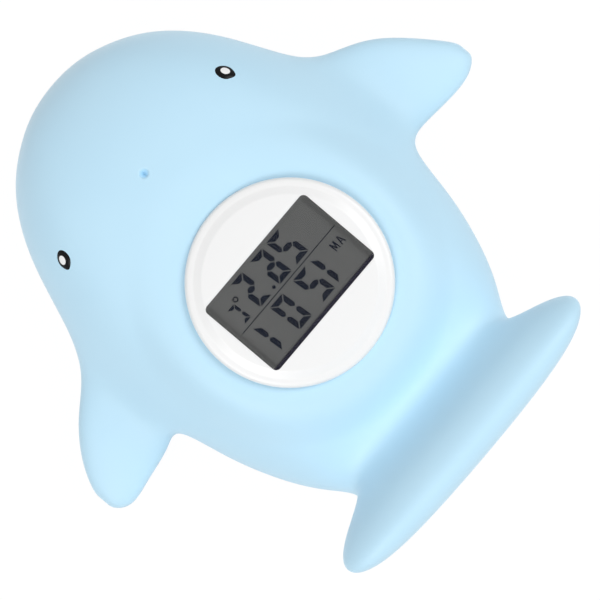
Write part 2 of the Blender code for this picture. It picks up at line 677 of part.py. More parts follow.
def rear_case(parts, cutters):
    white = material("white_case_rear", (0.90, 0.90, 0.89), 0.4)
    shoulder = WALL + FIT
    rim = SPLIT_Z - THIN_FIT
    spigot_top = SPLIT_Z + SPIGOT_RISE
    groove_mid = SPLIT_Z + SPIGOT_RISE / 2
    groove_half = SEAL_R + THIN_FIT
    groove_r = FRONT_R - 2 * THIN_FIT - 2 * SEAL_R
    edge = 0.4 * MM
    case = turned(
        "rear_case", parts, white,
        [
            (0.0, FLOOR_TOP),
            (REAR_INNER_R, FLOOR_TOP),
            (REAR_INNER_R, spigot_top),
            (REAR_R, spigot_top),
            (REAR_R, groove_mid + groove_half),
            (groove_r, groove_mid + groove_half),
            (groove_r, groove_mid - groove_half),
            (REAR_R, groove_mid - groove_half),
            (REAR_R, rim),
            (NECK_R, rim),
            (NECK_R, rim - COLLAR_HIGH),
            (REAR_R, rim - 2 * COLLAR_HIGH),
            (REAR_R, shoulder + edge),
            (REAR_R - edge, shoulder),
            (REAR_INNER_R, shoulder),
            (REAR_INNER_R, BASE_Z + edge),
            (REAR_INNER_R - edge, BASE_Z),
            (0.0, BASE_Z),
        ],
    )
    seal_ring(
        "case_seal", parts, material("seal_black", (0.03, 0.03, 0.03), 0.6),
        FRONT_R - THIN_FIT - SEAL_R, SEAL_R, groove_mid,
    )
    cell_at = (0.0, CELL_Y)
    board_rest = LOWER_BASE - FIT
    middle_of_floor = (BASE_Z + FLOOR_TOP) / 2
    ring = cylinder(
        "cell_ring", cutters, None, CELL_RING_R, middle_of_floor, board_rest, at=cell_at, sides=ROUND
    )
    join(case, as_cutter(ring))
    ear_x = DOOR_R + DOOR_EAR_R / 2
    for x in (-ear_x, ear_x):
        boss = cylinder(
            "door_boss", cutters, None, DOOR_EAR_R, middle_of_floor, board_rest,
            at=(x, CELL_Y), sides=24,
        )
        join(case, as_cutter(boss))
    for x in (-LOWER_SCREW_X, LOWER_SCREW_X):
        boss = cylinder(
            "board_boss", cutters, None, BOSS_R, middle_of_floor, board_rest,
            at=(x, LOWER_SCREW_Y), sides=16,
        )
        join(case, as_cutter(boss))
        pilot = cylinder(
            "board_pilot", cutters, None, SCREW_R + FIT, FLOOR_TOP + FIT, LOWER_BASE,
            at=(x, LOWER_SCREW_Y), sides=12,
        )
        cut(case, as_cutter(pilot))
    pocket = cylinder(
        "cell_pocket", cutters, None, CELL_R + CELL_GAP, BASE_Z - FIT, LOWER_BASE,
        at=cell_at, sides=ROUND,
    )
    doorway = cylinder(
        "doorway", cutters, None, DOOR_R + FIT, BASE_Z - FIT, FLOOR_TOP + THIN_FIT,
        at=cell_at, sides=ROUND,
    )
    clip_slot = plate(
        "clip_slot", cutters, None, CLIP_WIDE + 2 * FIT, CELL_RING_R - CELL_R + FIT,
        FLOOR_TOP + FIT, LOWER_BASE, at=(0.0, CELL_Y + (CELL_RING_R + CELL_R + FIT) / 2),
    )
    cut(case, as_cutter(pocket), as_cutter(doorway), as_cutter(clip_slot))
    for x in (-ear_x, ear_x):
        ear_seat = cylinder(
            "ear_seat", cutters, None, DOOR_EAR_R + FIT, BASE_Z - FIT, DOOR_TOP - 2 * SEAL_R + FIT,
            at=(x, CELL_Y), sides=24,
        )
        pilot = cylinder(
            "door_pilot", cutters, None, SCREW_R + FIT, BASE_Z, board_rest - FIT,
            at=(x, CELL_Y), sides=12,
        )
        cut(case, as_cutter(ear_seat), as_cutter(pilot))
    for x in (-BUTTON_X, BUTTON_X):
        bore = cylinder(
            "button_bore", cutters, None, BUTTON_R + FIT, BASE_Z - FIT, FLOOR_TOP + FIT,
            at=(x, BUTTON_Y), sides=24,
        )
        cut(case, as_cutter(bore))
    probe_hole = cylinder(
        "probe_hole", cutters, None, PROBE_R + FIT, BASE_Z - FIT, FLOOR_TOP + FIT,
        at=(0.0, PROBE_Y), sides=24,
    )
    cut(case, as_cutter(probe_hole))
    return case


def battery(parts, cutters):
    white = material("white_door", (0.88, 0.88, 0.87), 0.45)
    nickel = material("nickel_strip", (0.72, 0.70, 0.66), 0.25, 1.0)
    steel = material("cell_steel", (0.74, 0.74, 0.75), 0.2, 1.0)
    dark = material("door_seal_black", (0.03, 0.03, 0.03), 0.6)
    cell_at = (0.0, CELL_Y)
    step_z = DOOR_TOP - 2 * SEAL_R
    step_r = CELL_R + CELL_GAP
    edge = 0.3 * MM
    door = turned(
        "battery_door", parts, white,
        [
            (0.0, DOOR_TOP),
            (step_r, DOOR_TOP),
            (step_r, step_z),
            (DOOR_R, step_z),
            (DOOR_R, BASE_Z + edge),
            (DOOR_R - edge, BASE_Z),
            (0.0, BASE_Z),
        ],
        at=cell_at,
    )
    ear_x = DOOR_R + DOOR_EAR_R / 2
    number = 0
    for x in (-ear_x, ear_x):
        number += 1
        ear = cylinder(
            "door_ear", cutters, None, DOOR_EAR_R, BASE_Z, step_z, at=(x, CELL_Y), sides=24
        )
        join(door, as_cutter(ear))
        hole = cylinder(
            "ear_hole", cutters, None, SCREW_R + FIT, BASE_Z - FIT, DOOR_TOP,
            at=(x, CELL_Y), sides=12,
        )
        cut(door, as_cutter(hole))
        head_high = BASE_Z - THIN_FIT
        screw(
            f"door_screw_{number}", parts, steel, (x, CELL_Y),
            head_high - DOOR_HEAD, head_high, LOWER_BASE - 4 * FIT,
        )
    slot = plate(
        "coin_slot", cutters, None, DOOR_R, 1.6 * MM, BASE_Z - FIT, BASE_Z + 0.5 * MM, at=cell_at
    )
    cut(door, as_cutter(slot))
    seal_ring(
        "door_seal", parts, dark, (step_r + DOOR_R + FIT) / 2, SEAL_R,
        step_z + THIN_FIT + SEAL_R, at=cell_at,
    )
    rim = 0.4 * MM
    turned(
        "coin_cell", parts, steel,
        [
            (0.0, CELL_TOP),
            (CELL_R - 4 * rim, CELL_TOP),
            (CELL_R - 3 * rim, CELL_TOP - rim),
            (CELL_R, CELL_TOP - rim),
            (CELL_R, CELL_BASE + rim / 2),
            (CELL_R - rim / 2, CELL_BASE),
            (0.0, CELL_BASE),
        ],
        at=cell_at,
    )
    sheet = 0.25 * MM
    foot = LOWER_BASE - FIT - sheet / 2
    touch = CELL_TOP + FIT + sheet / 2
    strip(
        "negative_contact", parts, nickel,
        [
            (-6.0 * MM, foot), (-2.0 * MM, foot), (1.5 * MM, (foot + touch) / 2),
            (3.5 * MM, touch), (5.0 * MM, touch + 0.6 * MM),
        ],
        3.0 * MM, sheet, at=cell_at,
    )
    leg_y = CELL_R + FIT + sheet / 2
    strip(
        "positive_contact", parts, nickel,
        [
            (leg_y, CELL_BASE + CELL_THICK / 4), (leg_y, foot - 0.5 * MM),
            (leg_y + 0.5 * MM, foot), (leg_y + 4.5 * MM, foot),
        ],
        CLIP_WIDE, sheet, at=cell_at,
    )


def lower_board(parts, cutters):
    laminate = material("green_laminate_lower", (0.05, 0.25, 0.12), 0.4)
    steel = material("zinc_steel_lower", (0.70, 0.70, 0.72), 0.3, 1.0)
    board = cylinder(
        "lower_board", parts, laminate, REAR_INNER_R - FIT, LOWER_BASE, LOWER_TOP, sides=ROUND
    )
    number = 0
    for x in (-LOWER_SCREW_X, LOWER_SCREW_X):
        number += 1
        hole = cylinder(
            "lower_hole", cutters, None, SCREW_R + FIT, LOWER_BASE - FIT, LOWER_TOP + FIT,
            at=(x, LOWER_SCREW_Y), sides=12,
        )
        cut(board, as_cutter(hole))
        screw(
            f"lower_screw_{number}", parts, steel, (x, LOWER_SCREW_Y),
            LOWER_TOP + FIT, LOWER_TOP + FIT + SCREW_HEAD, FLOOR_TOP + 3 * FIT,
        )


def buttons(parts, cutters):
    grey = material("button_grey", (0.45, 0.47, 0.50), 0.6)
    black = material("switch_black", (0.03, 0.03, 0.03), 0.5)
    face = BASE_Z - BUTTON_PROUD
    flange_low = FLOOR_TOP + FIT
    flange_high = flange_low + 0.7 * MM
    flange_r = BUTTON_R + 0.8 * MM
    switch_top = LOWER_BASE - FIT
    plunger_low = switch_top - SWITCH_HIGH - PLUNGER
    stem_top = plunger_low - BUTTON_TRAVEL - 0.1 * MM
    stem_r = 1.2 * MM
    edge = 0.3 * MM
    for word, x in (("mode", -BUTTON_X), ("set", BUTTON_X)):
        at = (x, BUTTON_Y)
        turned(
            f"{word}_button", parts, grey,
            [
                (0.0, stem_top),
                (stem_r, stem_top),
                (stem_r, flange_high),
                (flange_r, flange_high),
                (flange_r, flange_low),
                (BUTTON_R, flange_low),
                (BUTTON_R, face + edge),
                (BUTTON_R - edge, face),
                (0.0, face),
            ],
            at=at, sides=24,
        )
        switch = plate(
            f"{word}_switch", parts, black, SWITCH_SIDE, SWITCH_SIDE,
            switch_top - SWITCH_HIGH, switch_top, at=at,
        )
        plunger = cylinder(
            "plunger", cutters, None, stem_r, plunger_low, switch_top - SWITCH_HIGH / 2,
            at=at, sides=16,
        )
        join(switch, as_cutter(plunger))


def probe(parts, cutters):
    steel = material("probe_steel", (0.72, 0.72, 0.73), 0.2, 1.0)
    bead_black = material("bead_black", (0.04, 0.04, 0.05), 0.4)
    tip = BASE_Z - PROBE_PROUD
    flange_low = FLOOR_TOP + FIT
    flange_high = flange_low + 0.6 * MM
    flange_r = PROBE_R + 0.8 * MM
    inner = PROBE_R - PROBE_WALL
    at = (0.0, PROBE_Y)
    turned(
        "probe_cap", parts, steel,
        [
            (0.0, tip + PROBE_WALL),
            (inner * 0.7, tip + PROBE_WALL),
            (inner, tip + PROBE_WALL + 0.5 * MM),
            (inner, flange_high),
            (flange_r, flange_high),
            (flange_r, flange_low),
            (PROBE_R, flange_low),
            (PROBE_R, tip + 0.6 * MM),
            (PROBE_R * 0.7, tip),
            (0.0, tip),
        ],
        at=at, sides=24,
    )
    bead_r = inner - FIT
    bead_z = tip + PROBE_WALL + FIT + bead_r
    bpy.ops.mesh.primitive_uv_sphere_add(
        segments=12, ring_count=8, radius=bead_r, location=(0.0, MODULE_Y + PROBE_Y, bead_z)
    )
    bead = adopt("thermistor", parts, bead_black)
    lead_x = bead_r / 2
    for x in (-lead_x, lead_x):
        lead = cylinder(
            "lead", cutters, None, 0.22 * MM, bead_z, LOWER_BASE - FIT, at=(x, PROBE_Y), sides=8
        )
        join(bead, as_cutter(lead))


def main():
    clear_scene()
    parts = collection_named("bath_thermometer")
    cutters = collection_named("cutters")
    soft_body(parts, cutters)
    front_case(parts, cutters)
    display(parts)
    main_board(parts, cutters)
    ribbon(parts)
    rear_case(parts, cutters)
    battery(parts, cutters)
    lower_board(parts, cutters)
    buttons(parts, cutters)
    probe(parts, cutters)


main()
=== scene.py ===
import math

import bmesh
import bpy
from mathutils import Matrix, Vector
from mathutils.bvhtree import BVHTree


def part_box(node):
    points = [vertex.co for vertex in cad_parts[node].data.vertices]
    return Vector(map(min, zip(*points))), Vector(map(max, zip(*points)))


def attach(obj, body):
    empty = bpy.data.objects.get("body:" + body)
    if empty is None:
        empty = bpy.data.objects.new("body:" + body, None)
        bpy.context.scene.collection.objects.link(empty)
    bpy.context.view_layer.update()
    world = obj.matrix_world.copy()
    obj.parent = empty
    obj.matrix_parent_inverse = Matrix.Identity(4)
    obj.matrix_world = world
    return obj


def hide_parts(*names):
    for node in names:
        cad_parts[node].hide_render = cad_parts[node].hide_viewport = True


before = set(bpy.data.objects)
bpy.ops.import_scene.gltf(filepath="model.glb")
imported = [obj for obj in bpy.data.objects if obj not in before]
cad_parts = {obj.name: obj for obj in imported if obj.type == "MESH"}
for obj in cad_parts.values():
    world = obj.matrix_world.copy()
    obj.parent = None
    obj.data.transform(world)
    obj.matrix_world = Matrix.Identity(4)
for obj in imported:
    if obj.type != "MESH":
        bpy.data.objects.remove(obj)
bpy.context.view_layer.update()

MM = 0.001

# Camera
# The photograph looks straight down on the whale from far off, so hardly any perspective
# shows. The whale's nose points to the upper left of the picture.
PICTURE_LEVEL = 42.0 * MM
PICTURE_WIDTH = 129.6 * MM
CAMERA_ABOVE = 900.0 * MM
PICTURE_MIDDLE = (1.45 * MM, 10.6 * MM)
PICTURE_TURN = 130.2
SENSOR = 36.0

bpy.ops.object.select_all(action="DESELECT")
bpy.ops.object.camera_add(
    location=(*PICTURE_MIDDLE, PICTURE_LEVEL + CAMERA_ABOVE),
    rotation=(0.0, 0.0, math.radians(PICTURE_TURN)),
)
camera = bpy.context.active_object
camera.name = "photo_camera"
camera.data.sensor_width = SENSOR
camera.data.lens = SENSOR * CAMERA_ABOVE / PICTURE_WIDTH
camera.data.clip_start = 0.01
bpy.context.scene.camera = camera

# Soft skin
# The whale is one hollow moulding of soft pale blue vinyl, satin all over, with its flippers
# and its upturned fluke in one with the body. It is stretched round the neck of the module.
SIDE_Z = 18.0 * MM
SEAT_Z = 40.0 * MM
FLAT_R = 25.0 * MM
FLAT_FADE = 11.0 * MM
MODULE = Vector((0.0, 6.5 * MM, 0.0))
BODY_SECTIONS = (
    # x, y, z of the middle, lean, half width, height above it, depth below it, sides' trail
    (0.6, -59.3, 17.0, 0, 14.6, 10.5, 9.5, 0.0),
    (0.6, -53.4, 17.5, 0, 24.6, 16.0, 15.5, 0.0),
    (0.5, -41.0, 18.0, 0, 33.8, 21.5, 19.0, 0.0),
    (0.4, -23.5, 18.0, 0, 40.1, 23.5, 20.0, 0.0),
    (0.3, -13.0, 18.0, 0, 41.5, 24.0, 20.0, 0.0),
    (0.3, -2.5, 18.0, 0, 41.9, 24.0, 20.0, 0.0),
    (0.3, 7.5, 18.0, 0, 41.2, 24.0, 20.0, 0.0),
    (0.3, 20.0, 18.0, 0, 39.4, 23.5, 20.0, 0.0),
    (0.4, 32.0, 18.5, 3, 35.6, 21.0, 19.5, 0.0),
    (0.5, 42.0, 20.0, 15, 30.6, 15.5, 17.0, 0.0),
    (0.6, 49.5, 26.0, 42, 22.8, 8.5, 12.0, 0.0),
    (0.8, 53.8, 35.0, 60, 37.0, 6.6, 7.2, 0.5),
    (1.0, 56.7, 43.3, 55, 40.0, 6.5, 6.0, 2.0),
    (1.2, 59.6, 46.8, 35, 37.8, 5.5, 5.2, 0.8),
)
NOSE = (0.6, -62.4, 17.0)
NOSE_SPREAD = (0.5, 0.5)
TAIL = (1.2, 61.8, 49.2)
TAIL_SPREAD = (0.85, 0.6)
RING_ANGLES = (11, 45, 75, 105, 135, 169, 191, 225, 255, 285, 315, 349)
SQUARENESS = 0.73
FLIPPER_ROOT = range(3, 7)
LEFT_FLIPPER = (
    # distance of the row from the middle, y of its front and rear, its height, half thickness
    (45.0, -15.5, 10.0, 17.8, 4.2),
    (53.5, -10.6, 10.8, 17.2, 3.8),
    (60.5, -3.3, 12.3, 16.6, 3.2),
    (63.8, 3.5, 8.8, 16.3, 2.4),
)
RIGHT_FLIPPER = (
    (45.0, -19.7, 6.5, 17.8, 4.2),
    (53.5, -15.5, 7.6, 17.2, 3.8),
    (61.0, -5.6, 7.6, 16.6, 3.2),
    (64.9, 0.5, 4.9, 16.3, 2.4),
)
FLIPPER_EDGE = 0.75
FLIPPER_SWELL = 0.35
SKIN_LEVELS = 4
NECK_HOLE_R = 21.9 * MM
PORT_R = 18.3 * MM
LIP = 2.4 * MM
BLOWHOLE = (2.35 * MM, -32.9 * MM)
BLOWHOLE_R = 1.2 * MM
BLOWHOLE_DEPTH = 1.8 * MM
FINER_WITHIN = 2.2
PARTING_Z = 17.2 * MM
PARTING_HALF = 0.12 * MM
WELD = 0.001 * MM


def shade(red, green, blue):
    """A colour as seen on a screen, 0 to 255, made linear."""
    return tuple(
        v / 12.92 if v <= 0.04045 else ((v + 0.055) / 1.055) ** 2.4
        for v in (red / 255, green / 255, blue / 255)
    )


def surface_grain():
    """A node group for a moulded, drawn or brushed surface: slow drift and fine grain."""
    group = bpy.data.node_groups.new("surface_grain", "ShaderNodeTree")
    sockets = (
        ("Place", "INPUT", "NodeSocketVector"), ("Stretch", "INPUT", "NodeSocketVector"),
        ("Fineness", "INPUT", "NodeSocketFloat"), ("Colour", "INPUT", "NodeSocketColor"),
        ("Drift colour", "INPUT", "NodeSocketColor"), ("Drift", "INPUT", "NodeSocketFloat"),
        ("Roughness", "INPUT", "NodeSocketFloat"), ("Spread", "INPUT", "NodeSocketFloat"),
        ("Colour", "OUTPUT", "NodeSocketColor"), ("Roughness", "OUTPUT", "NodeSocketFloat"),
        ("Height", "OUTPUT", "NodeSocketFloat"),
    )
    for name, way, kind in sockets:
        group.interface.new_socket(name, in_out=way, socket_type=kind)
    nodes, links = group.nodes, group.links
    given = nodes.new("NodeGroupInput")
    made = nodes.new("NodeGroupOutput")
    drawn = nodes.new("ShaderNodeVectorMath")
    drawn.operation = "MULTIPLY"
    links.new(given.outputs["Place"], drawn.inputs[0])
    links.new(given.outputs["Stretch"], drawn.inputs[1])
    fine = nodes.new("ShaderNodeTexNoise")
    fine.inputs["Detail"].default_value = 3.0
    links.new(drawn.outputs[0], fine.inputs["Vector"])
    links.new(given.outputs["Fineness"], fine.inputs["Scale"])
    slower = nodes.new("ShaderNodeMath")
    slower.operation = "MULTIPLY"
    slower.inputs[1].default_value = 0.04
    links.new(given.outputs["Fineness"], slower.inputs[0])
    slow = nodes.new("ShaderNodeTexNoise")
    slow.inputs["Detail"].default_value = 2.0
    links.new(given.outputs["Place"], slow.inputs["Vector"])
    links.new(slower.outputs[0], slow.inputs["Scale"])
    amount = nodes.new("ShaderNodeMath")
    amount.operation = "MULTIPLY"
    links.new(slow.outputs["Fac"], amount.inputs[0])
    links.new(given.outputs["Drift"], amount.inputs[1])
    blend = nodes.new("ShaderNodeMix")
    blend.data_type = "RGBA"
    links.new(amount.outputs[0], blend.inputs["Factor"])
    links.new(given.outputs["Colour"], blend.inputs["A"])
    links.new(given.outputs["Drift colour"], blend.inputs["B"])
    centred = nodes.new("ShaderNodeMath")
    centred.operation = "SUBTRACT"
    centred.inputs[1].default_value = 0.5
    links.new(fine.outputs["Fac"], centred.inputs[0])
    rough = nodes.new("ShaderNodeMath")
    rough.operation = "MULTIPLY_ADD"
    links.new(centred.outputs[0], rough.inputs[0])
    links.new(given.outputs["Spread"], rough.inputs[1])
    links.new(given.outputs["Roughness"], rough.inputs[2])
    links.new(blend.outputs["Result"], made.inputs["Colour"])
    links.new(rough.outputs[0], made.inputs["Roughness"])
    links.new(fine.outputs["Fac"], made.inputs["Height"])
    return group


GRAIN = surface_grain()


def finish(name, colour, drift_colour, roughness, drift=0.5, spread=0.1, fineness=1500.0,
           relief=0.02 * MM, stretch=(1.0, 1.0, 1.0), metallic=0.0, shine=0.5):
    """A material whose colour, gloss and fine relief come from the grain group."""
    made = bpy.data.materials.new(name)
    made.use_nodes = True
    nodes, links = made.node_tree.nodes, made.node_tree.links
    shader = nodes["Principled BSDF"]
    shader.inputs["Metallic"].default_value = metallic
    shader.inputs["Specular IOR Level"].default_value = shine
    place = nodes.new("ShaderNodeTexCoord")
    place.name = "place"
    grain = nodes.new("ShaderNodeGroup")
    grain.name = "grain"
    grain.node_tree = GRAIN
    grain.inputs["Stretch"].default_value = stretch
    grain.inputs["Fineness"].default_value = fineness
    grain.inputs["Colour"].default_value = (*colour, 1.0)
    grain.inputs["Drift colour"].default_value = (*drift_colour, 1.0)
    grain.inputs["Drift"].default_value = drift
    grain.inputs["Roughness"].default_value = roughness
    grain.inputs["Spread"].default_value = spread
    bump = nodes.new("ShaderNodeBump")
    bump.name = "relief"
    bump.inputs["Strength"].default_value = 0.5
    bump.inputs["Distance"].default_value = relief
    links.new(place.outputs["Object"], grain.inputs["Place"])
    links.new(grain.outputs["Colour"], shader.inputs["Base Color"])
    links.new(grain.outputs["Roughness"], shader.inputs["Roughness"])
    links.new(grain.outputs["Height"], bump.inputs["Height"])
    links.new(bump.outputs["Normal"], shader.inputs["Normal"])
    return made


def band(made, axis, middle, half):
    """A mask that is 1 near one height or one place along an axis."""
    nodes, links = made.node_tree.nodes, made.node_tree.links
    parts = nodes.new("ShaderNodeSeparateXYZ")
    within = nodes.new("ShaderNodeMath")
    within.operation = "COMPARE"
    within.inputs[1].default_value = middle
    within.inputs[2].default_value = half
    links.new(nodes["place"].outputs["Object"], parts.inputs[0])
    links.new(parts.outputs[axis], within.inputs[0])
    return within.outputs[0]


def raise_by(made, height, strength, distance):
    """Adds a second, coarser relief to a material."""
    nodes, links = made.node_tree.nodes, made.node_tree.links
    ridge = nodes.new("ShaderNodeBump")
    ridge.inputs["Strength"].default_value = strength
    ridge.inputs["Distance"].default_value = distance
    links.new(height, ridge.inputs["Height"])
    links.new(nodes["relief"].outputs["Normal"], ridge.inputs["Normal"])
    links.new(ridge.outputs["Normal"], nodes["Principled BSDF"].inputs["Normal"])


def take_up(obj, name, material, slot, *nodes, body="whale"):
    """Names a finished piece, gives it its material, and puts it in the frame."""
    obj.name = name
    obj.data.name = name
    obj.data.materials.clear()
    obj.data.materials.append(material)
    if nodes:
        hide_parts(*nodes)
    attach(obj, body)
    return obj


def only(obj):
    """Makes one object the selected and active one."""
    bpy.ops.object.select_all(action="DESELECT")
    obj.select_set(True)
    bpy.context.view_layer.objects.active = obj


def smooth(obj, degrees):
    """Shades a piece smooth, except over edges sharper than an angle."""
    only(obj)
    bpy.ops.object.shade_smooth_by_angle(angle=math.radians(degrees))


def with_modifier(obj, kind, **settings):
    """Adds a modifier, sets it and applies it."""
    only(obj)
    step = obj.modifiers.new(kind.lower(), kind)
    for key, value in settings.items():
        setattr(step, key, value)
    bpy.ops.object.modifier_apply(modifier=step.name)


def cut_by(obj, cutter):
    """Cuts one shape out of another, and removes the cutter."""
    with_modifier(obj, "BOOLEAN", operation="DIFFERENCE", solver="EXACT", object=cutter)
    bpy.data.objects.remove(cutter, do_unlink=True)


def spun(profile, centre, steps=128):
    """A solid turned about an upright axis from (radius, height) points."""
    bpy.ops.object.select_all(action="DESELECT")
    bpy.ops.mesh.primitive_plane_add(size=MM)
    obj = bpy.context.active_object
    bpy.ops.object.mode_set(mode="EDIT")
    bpy.ops.mesh.select_mode(type="VERT")
    bpy.ops.mesh.select_all(action="SELECT")
    bpy.ops.mesh.merge(type="CENTER")
    radius, height = profile[0]
    bpy.ops.transform.translate(value=(centre.x + radius, centre.y, height))
    for (r0, z0), (r1, z1) in zip(profile, profile[1:]):
        step = (r1 - r0, 0.0, z1 - z0)
        bpy.ops.mesh.extrude_vertices_move(TRANSFORM_OT_translate={"value": step})
    bpy.ops.mesh.select_all(action="SELECT")
    bpy.ops.mesh.spin(steps=steps, angle=math.tau, center=centre, axis=(0.0, 0.0, 1.0))
    bpy.ops.mesh.select_all(action="SELECT")
    bpy.ops.mesh.remove_doubles(threshold=WELD)
    bpy.ops.mesh.normals_make_consistent(inside=False)
    bpy.ops.object.mode_set(mode="OBJECT")
    return obj


def ring_spots(section):
    """The twelve corners of one cross-section of the whale's coarse form."""
    x, y, z, _, half, above, below, trail = (value * MM for value in section)
    lean = math.radians(section[3])
    ahead = Vector((0.0, math.cos(lean), math.sin(lean)))
    over = Vector((0.0, -math.sin(lean), math.cos(lean)))
    spots = []
    for angle in RING_ANGLES:
        cosine, sine = math.cos(math.radians(angle)), math.sin(math.radians(angle))
        across = math.copysign(abs(cosine) ** SQUARENESS, cosine)
        rise = math.copysign(abs(sine) ** SQUARENESS, sine)
        reach = above if rise > 0 else below
        spot = Vector((x + across * half, y, z)) + over * rise * reach
        spots.append(spot - ahead * trail * across * across)
    return spots


def extruded_ring(shape_of, spots_before, spots_after):
    """Extrudes the selected loop, and puts each new corner in its place."""
    bpy.ops.mesh.extrude_region_move()
    shape = bmesh.from_edit_mesh(shape_of)
    fresh = [vert for vert in shape.verts if vert.select]
    for before, after in zip(spots_before, spots_after):
        near = min(fresh, key=lambda vert: (vert.co - before).length_squared)
        fresh.remove(near)
        near.co = after
    bmesh.update_edit_mesh(shape_of)


def loop_at(shape, spots):
    """The corners of the coarse form that lie at these places, in order."""
    return [min(shape.verts, key=lambda vert: (vert.co - spot).length_squared) for spot in spots]


def close_end(shape_of, spots, tip, across, through):
    """Closes an end with nine faces round the tip."""
    shape = bmesh.from_edit_mesh(shape_of)
    ring = loop_at(shape, spots)
    middle = sum(spots, Vector()) / len(spots)
    inner = {}
    for corner in (1, 4, 7, 10):
        offset = spots[corner] - middle
        inner[corner] = shape.verts.new(
            Vector(tip) * MM + Vector((offset.x * across, offset.y * through, offset.z * through))
        )
    for corner, following in ((1, 4), (4, 7), (7, 10), (10, 1)):
        before, after, far = (corner - 1) % 12, (corner + 1) % 12, (corner + 2) % 12
        shape.faces.new((ring[before], ring[corner], ring[after], inner[corner]))
        shape.faces.new((inner[corner], ring[after], ring[far], inner[following]))
    shape.faces.new([inner[corner] for corner in (1, 4, 7, 10)])
    bmesh.update_edit_mesh(shape_of)


def draw_flipper(shape_of, rings, side, rows):
    """Draws the strip along the body's side out into a flipper, row by row."""
    upper, lower = (0, 11) if side > 0 else (5, 6)
    tops = [rings[i][upper] for i in FLIPPER_ROOT]
    bottoms = [rings[i][lower] for i in FLIPPER_ROOT]
    bpy.ops.mesh.select_all(action="DESELECT")
    shape = bmesh.from_edit_mesh(shape_of)
    root = set(loop_at(shape, tops + bottoms))
    for face in shape.faces:
        if root.issuperset(face.verts):
            face.select = True
    shape.select_flush_mode()
    bmesh.update_edit_mesh(shape_of)
    for far, front, rear, level, thick in rows:
        new_tops, new_bottoms = [], []
        for i in range(len(tops)):
            share = i / (len(tops) - 1)
            y = front + (rear - front) * share
            half = thick * (FLIPPER_EDGE + FLIPPER_SWELL * math.sin(math.pi * share))
            new_tops.append(Vector((side * far, y, level + half)) * MM)
            new_bottoms.append(Vector((side * far, y, level - half)) * MM)
        extruded_ring(shape_of, tops + bottoms, new_tops + new_bottoms)
        tops, bottoms = new_tops, new_bottoms


def level_for_module(mesh):
    """Levels the back round the module, and the belly that the whale rests on."""
    for vert in mesh.vertices:
        away = math.hypot(vert.co.x - MODULE.x, vert.co.y - MODULE.y)
        share = min(1.0, max(0.0, (away - FLAT_R) / FLAT_FADE))
        hold = 1.0 - share * share * (3.0 - 2.0 * share)
        level = SEAT_Z if vert.co.z > SIDE_Z else 0.0
        vert.co.z = max(vert.co.z + (level - vert.co.z) * hold, 0.0)


def whale_skin():
    """The whale's coarse form, drawn from ring to ring, then smoothed and levelled."""
    rings = [ring_spots(section) for section in BODY_SECTIONS]
    bpy.ops.object.select_all(action="DESELECT")
    bpy.ops.mesh.primitive_circle_add(vertices=len(RING_ANGLES), radius=MM)
    obj = bpy.context.active_object
    for vert, spot in zip(obj.data.vertices, rings[0]):
        vert.co = spot
    bpy.ops.object.mode_set(mode="EDIT")
    bpy.ops.mesh.select_mode(type="VERT")
    bpy.ops.mesh.select_all(action="SELECT")
    for before, after in zip(rings, rings[1:]):
        extruded_ring(obj.data, before, after)
    close_end(obj.data, rings[0][::-1], NOSE, *NOSE_SPREAD)
    close_end(obj.data, rings[-1], TAIL, *TAIL_SPREAD)
    draw_flipper(obj.data, rings, 1, LEFT_FLIPPER)
    draw_flipper(obj.data, rings, -1, RIGHT_FLIPPER)
    bpy.ops.mesh.select_all(action="SELECT")
    bpy.ops.mesh.normals_make_consistent(inside=False)
    bpy.ops.object.mode_set(mode="OBJECT")
    with_modifier(obj, "SUBSURF", levels=SKIN_LEVELS, render_levels=SKIN_LEVELS)
    level_for_module(obj.data)
    return obj


def press_dimple(obj, place, radius, depth):
    """Presses a small round dimple into the top of a skin."""
    middle = Vector((*place, 0.0))
    only(obj)
    bpy.ops.object.mode_set(mode="EDIT")
    bpy.ops.mesh.select_mode(type="FACE")
    bpy.ops.mesh.select_all(action="DESELECT")
    shape = bmesh.from_edit_mesh(obj.data)
    for face in shape.faces:
        spot = face.calc_center_median()
        away = (spot.xy - middle.xy).length
        face.select = spot.z > SIDE_Z and away < FINER_WITHIN * radius
    bmesh.update_edit_mesh(obj.data)
    bpy.ops.mesh.subdivide(number_cuts=5, smoothness=0.0)
    bpy.ops.object.mode_set(mode="OBJECT")
    for vert in obj.data.vertices:
        away = (vert.co.xy - middle.xy).length / radius
        if vert.co.z > SIDE_Z and away < 1.0:
            vert.co.z -= depth * (1.0 - away * away) ** 2


skin = whale_skin()
skin_tree = BVHTree.FromPolygons(
    [vert.co.copy() for vert in skin.data.vertices],
    [tuple(face.vertices) for face in skin.data.polygons],
)
press_dimple(skin, BLOWHOLE, BLOWHOLE_R, BLOWHOLE_DEPTH)
cut_by(skin, spun(
    [(0.0, -LIP), (PORT_R, -LIP), (PORT_R, LIP), (NECK_HOLE_R, LIP), (NECK_HOLE_R, SEAT_Z + LIP),
     (0.0, SEAT_Z + LIP)],
    MODULE,
))


def vinyl():
    """Satin pale blue vinyl with the faint line where the two halves of its mould met."""
    made = finish("pale_blue_vinyl", shade(198, 234, 253), shade(192, 230, 251), 0.5, drift=0.6,
                  spread=0.12, fineness=2200.0, relief=0.012 * MM, shine=0.4)
    shader = made.node_tree.nodes["Principled BSDF"]
    shader.inputs["Sheen Weight"].default_value = 0.35
    shader.inputs["Sheen Roughness"].default_value = 0.4
    raise_by(made, band(made, "Z", PARTING_Z, PARTING_HALF), 0.35, 0.05 * MM)
    return made


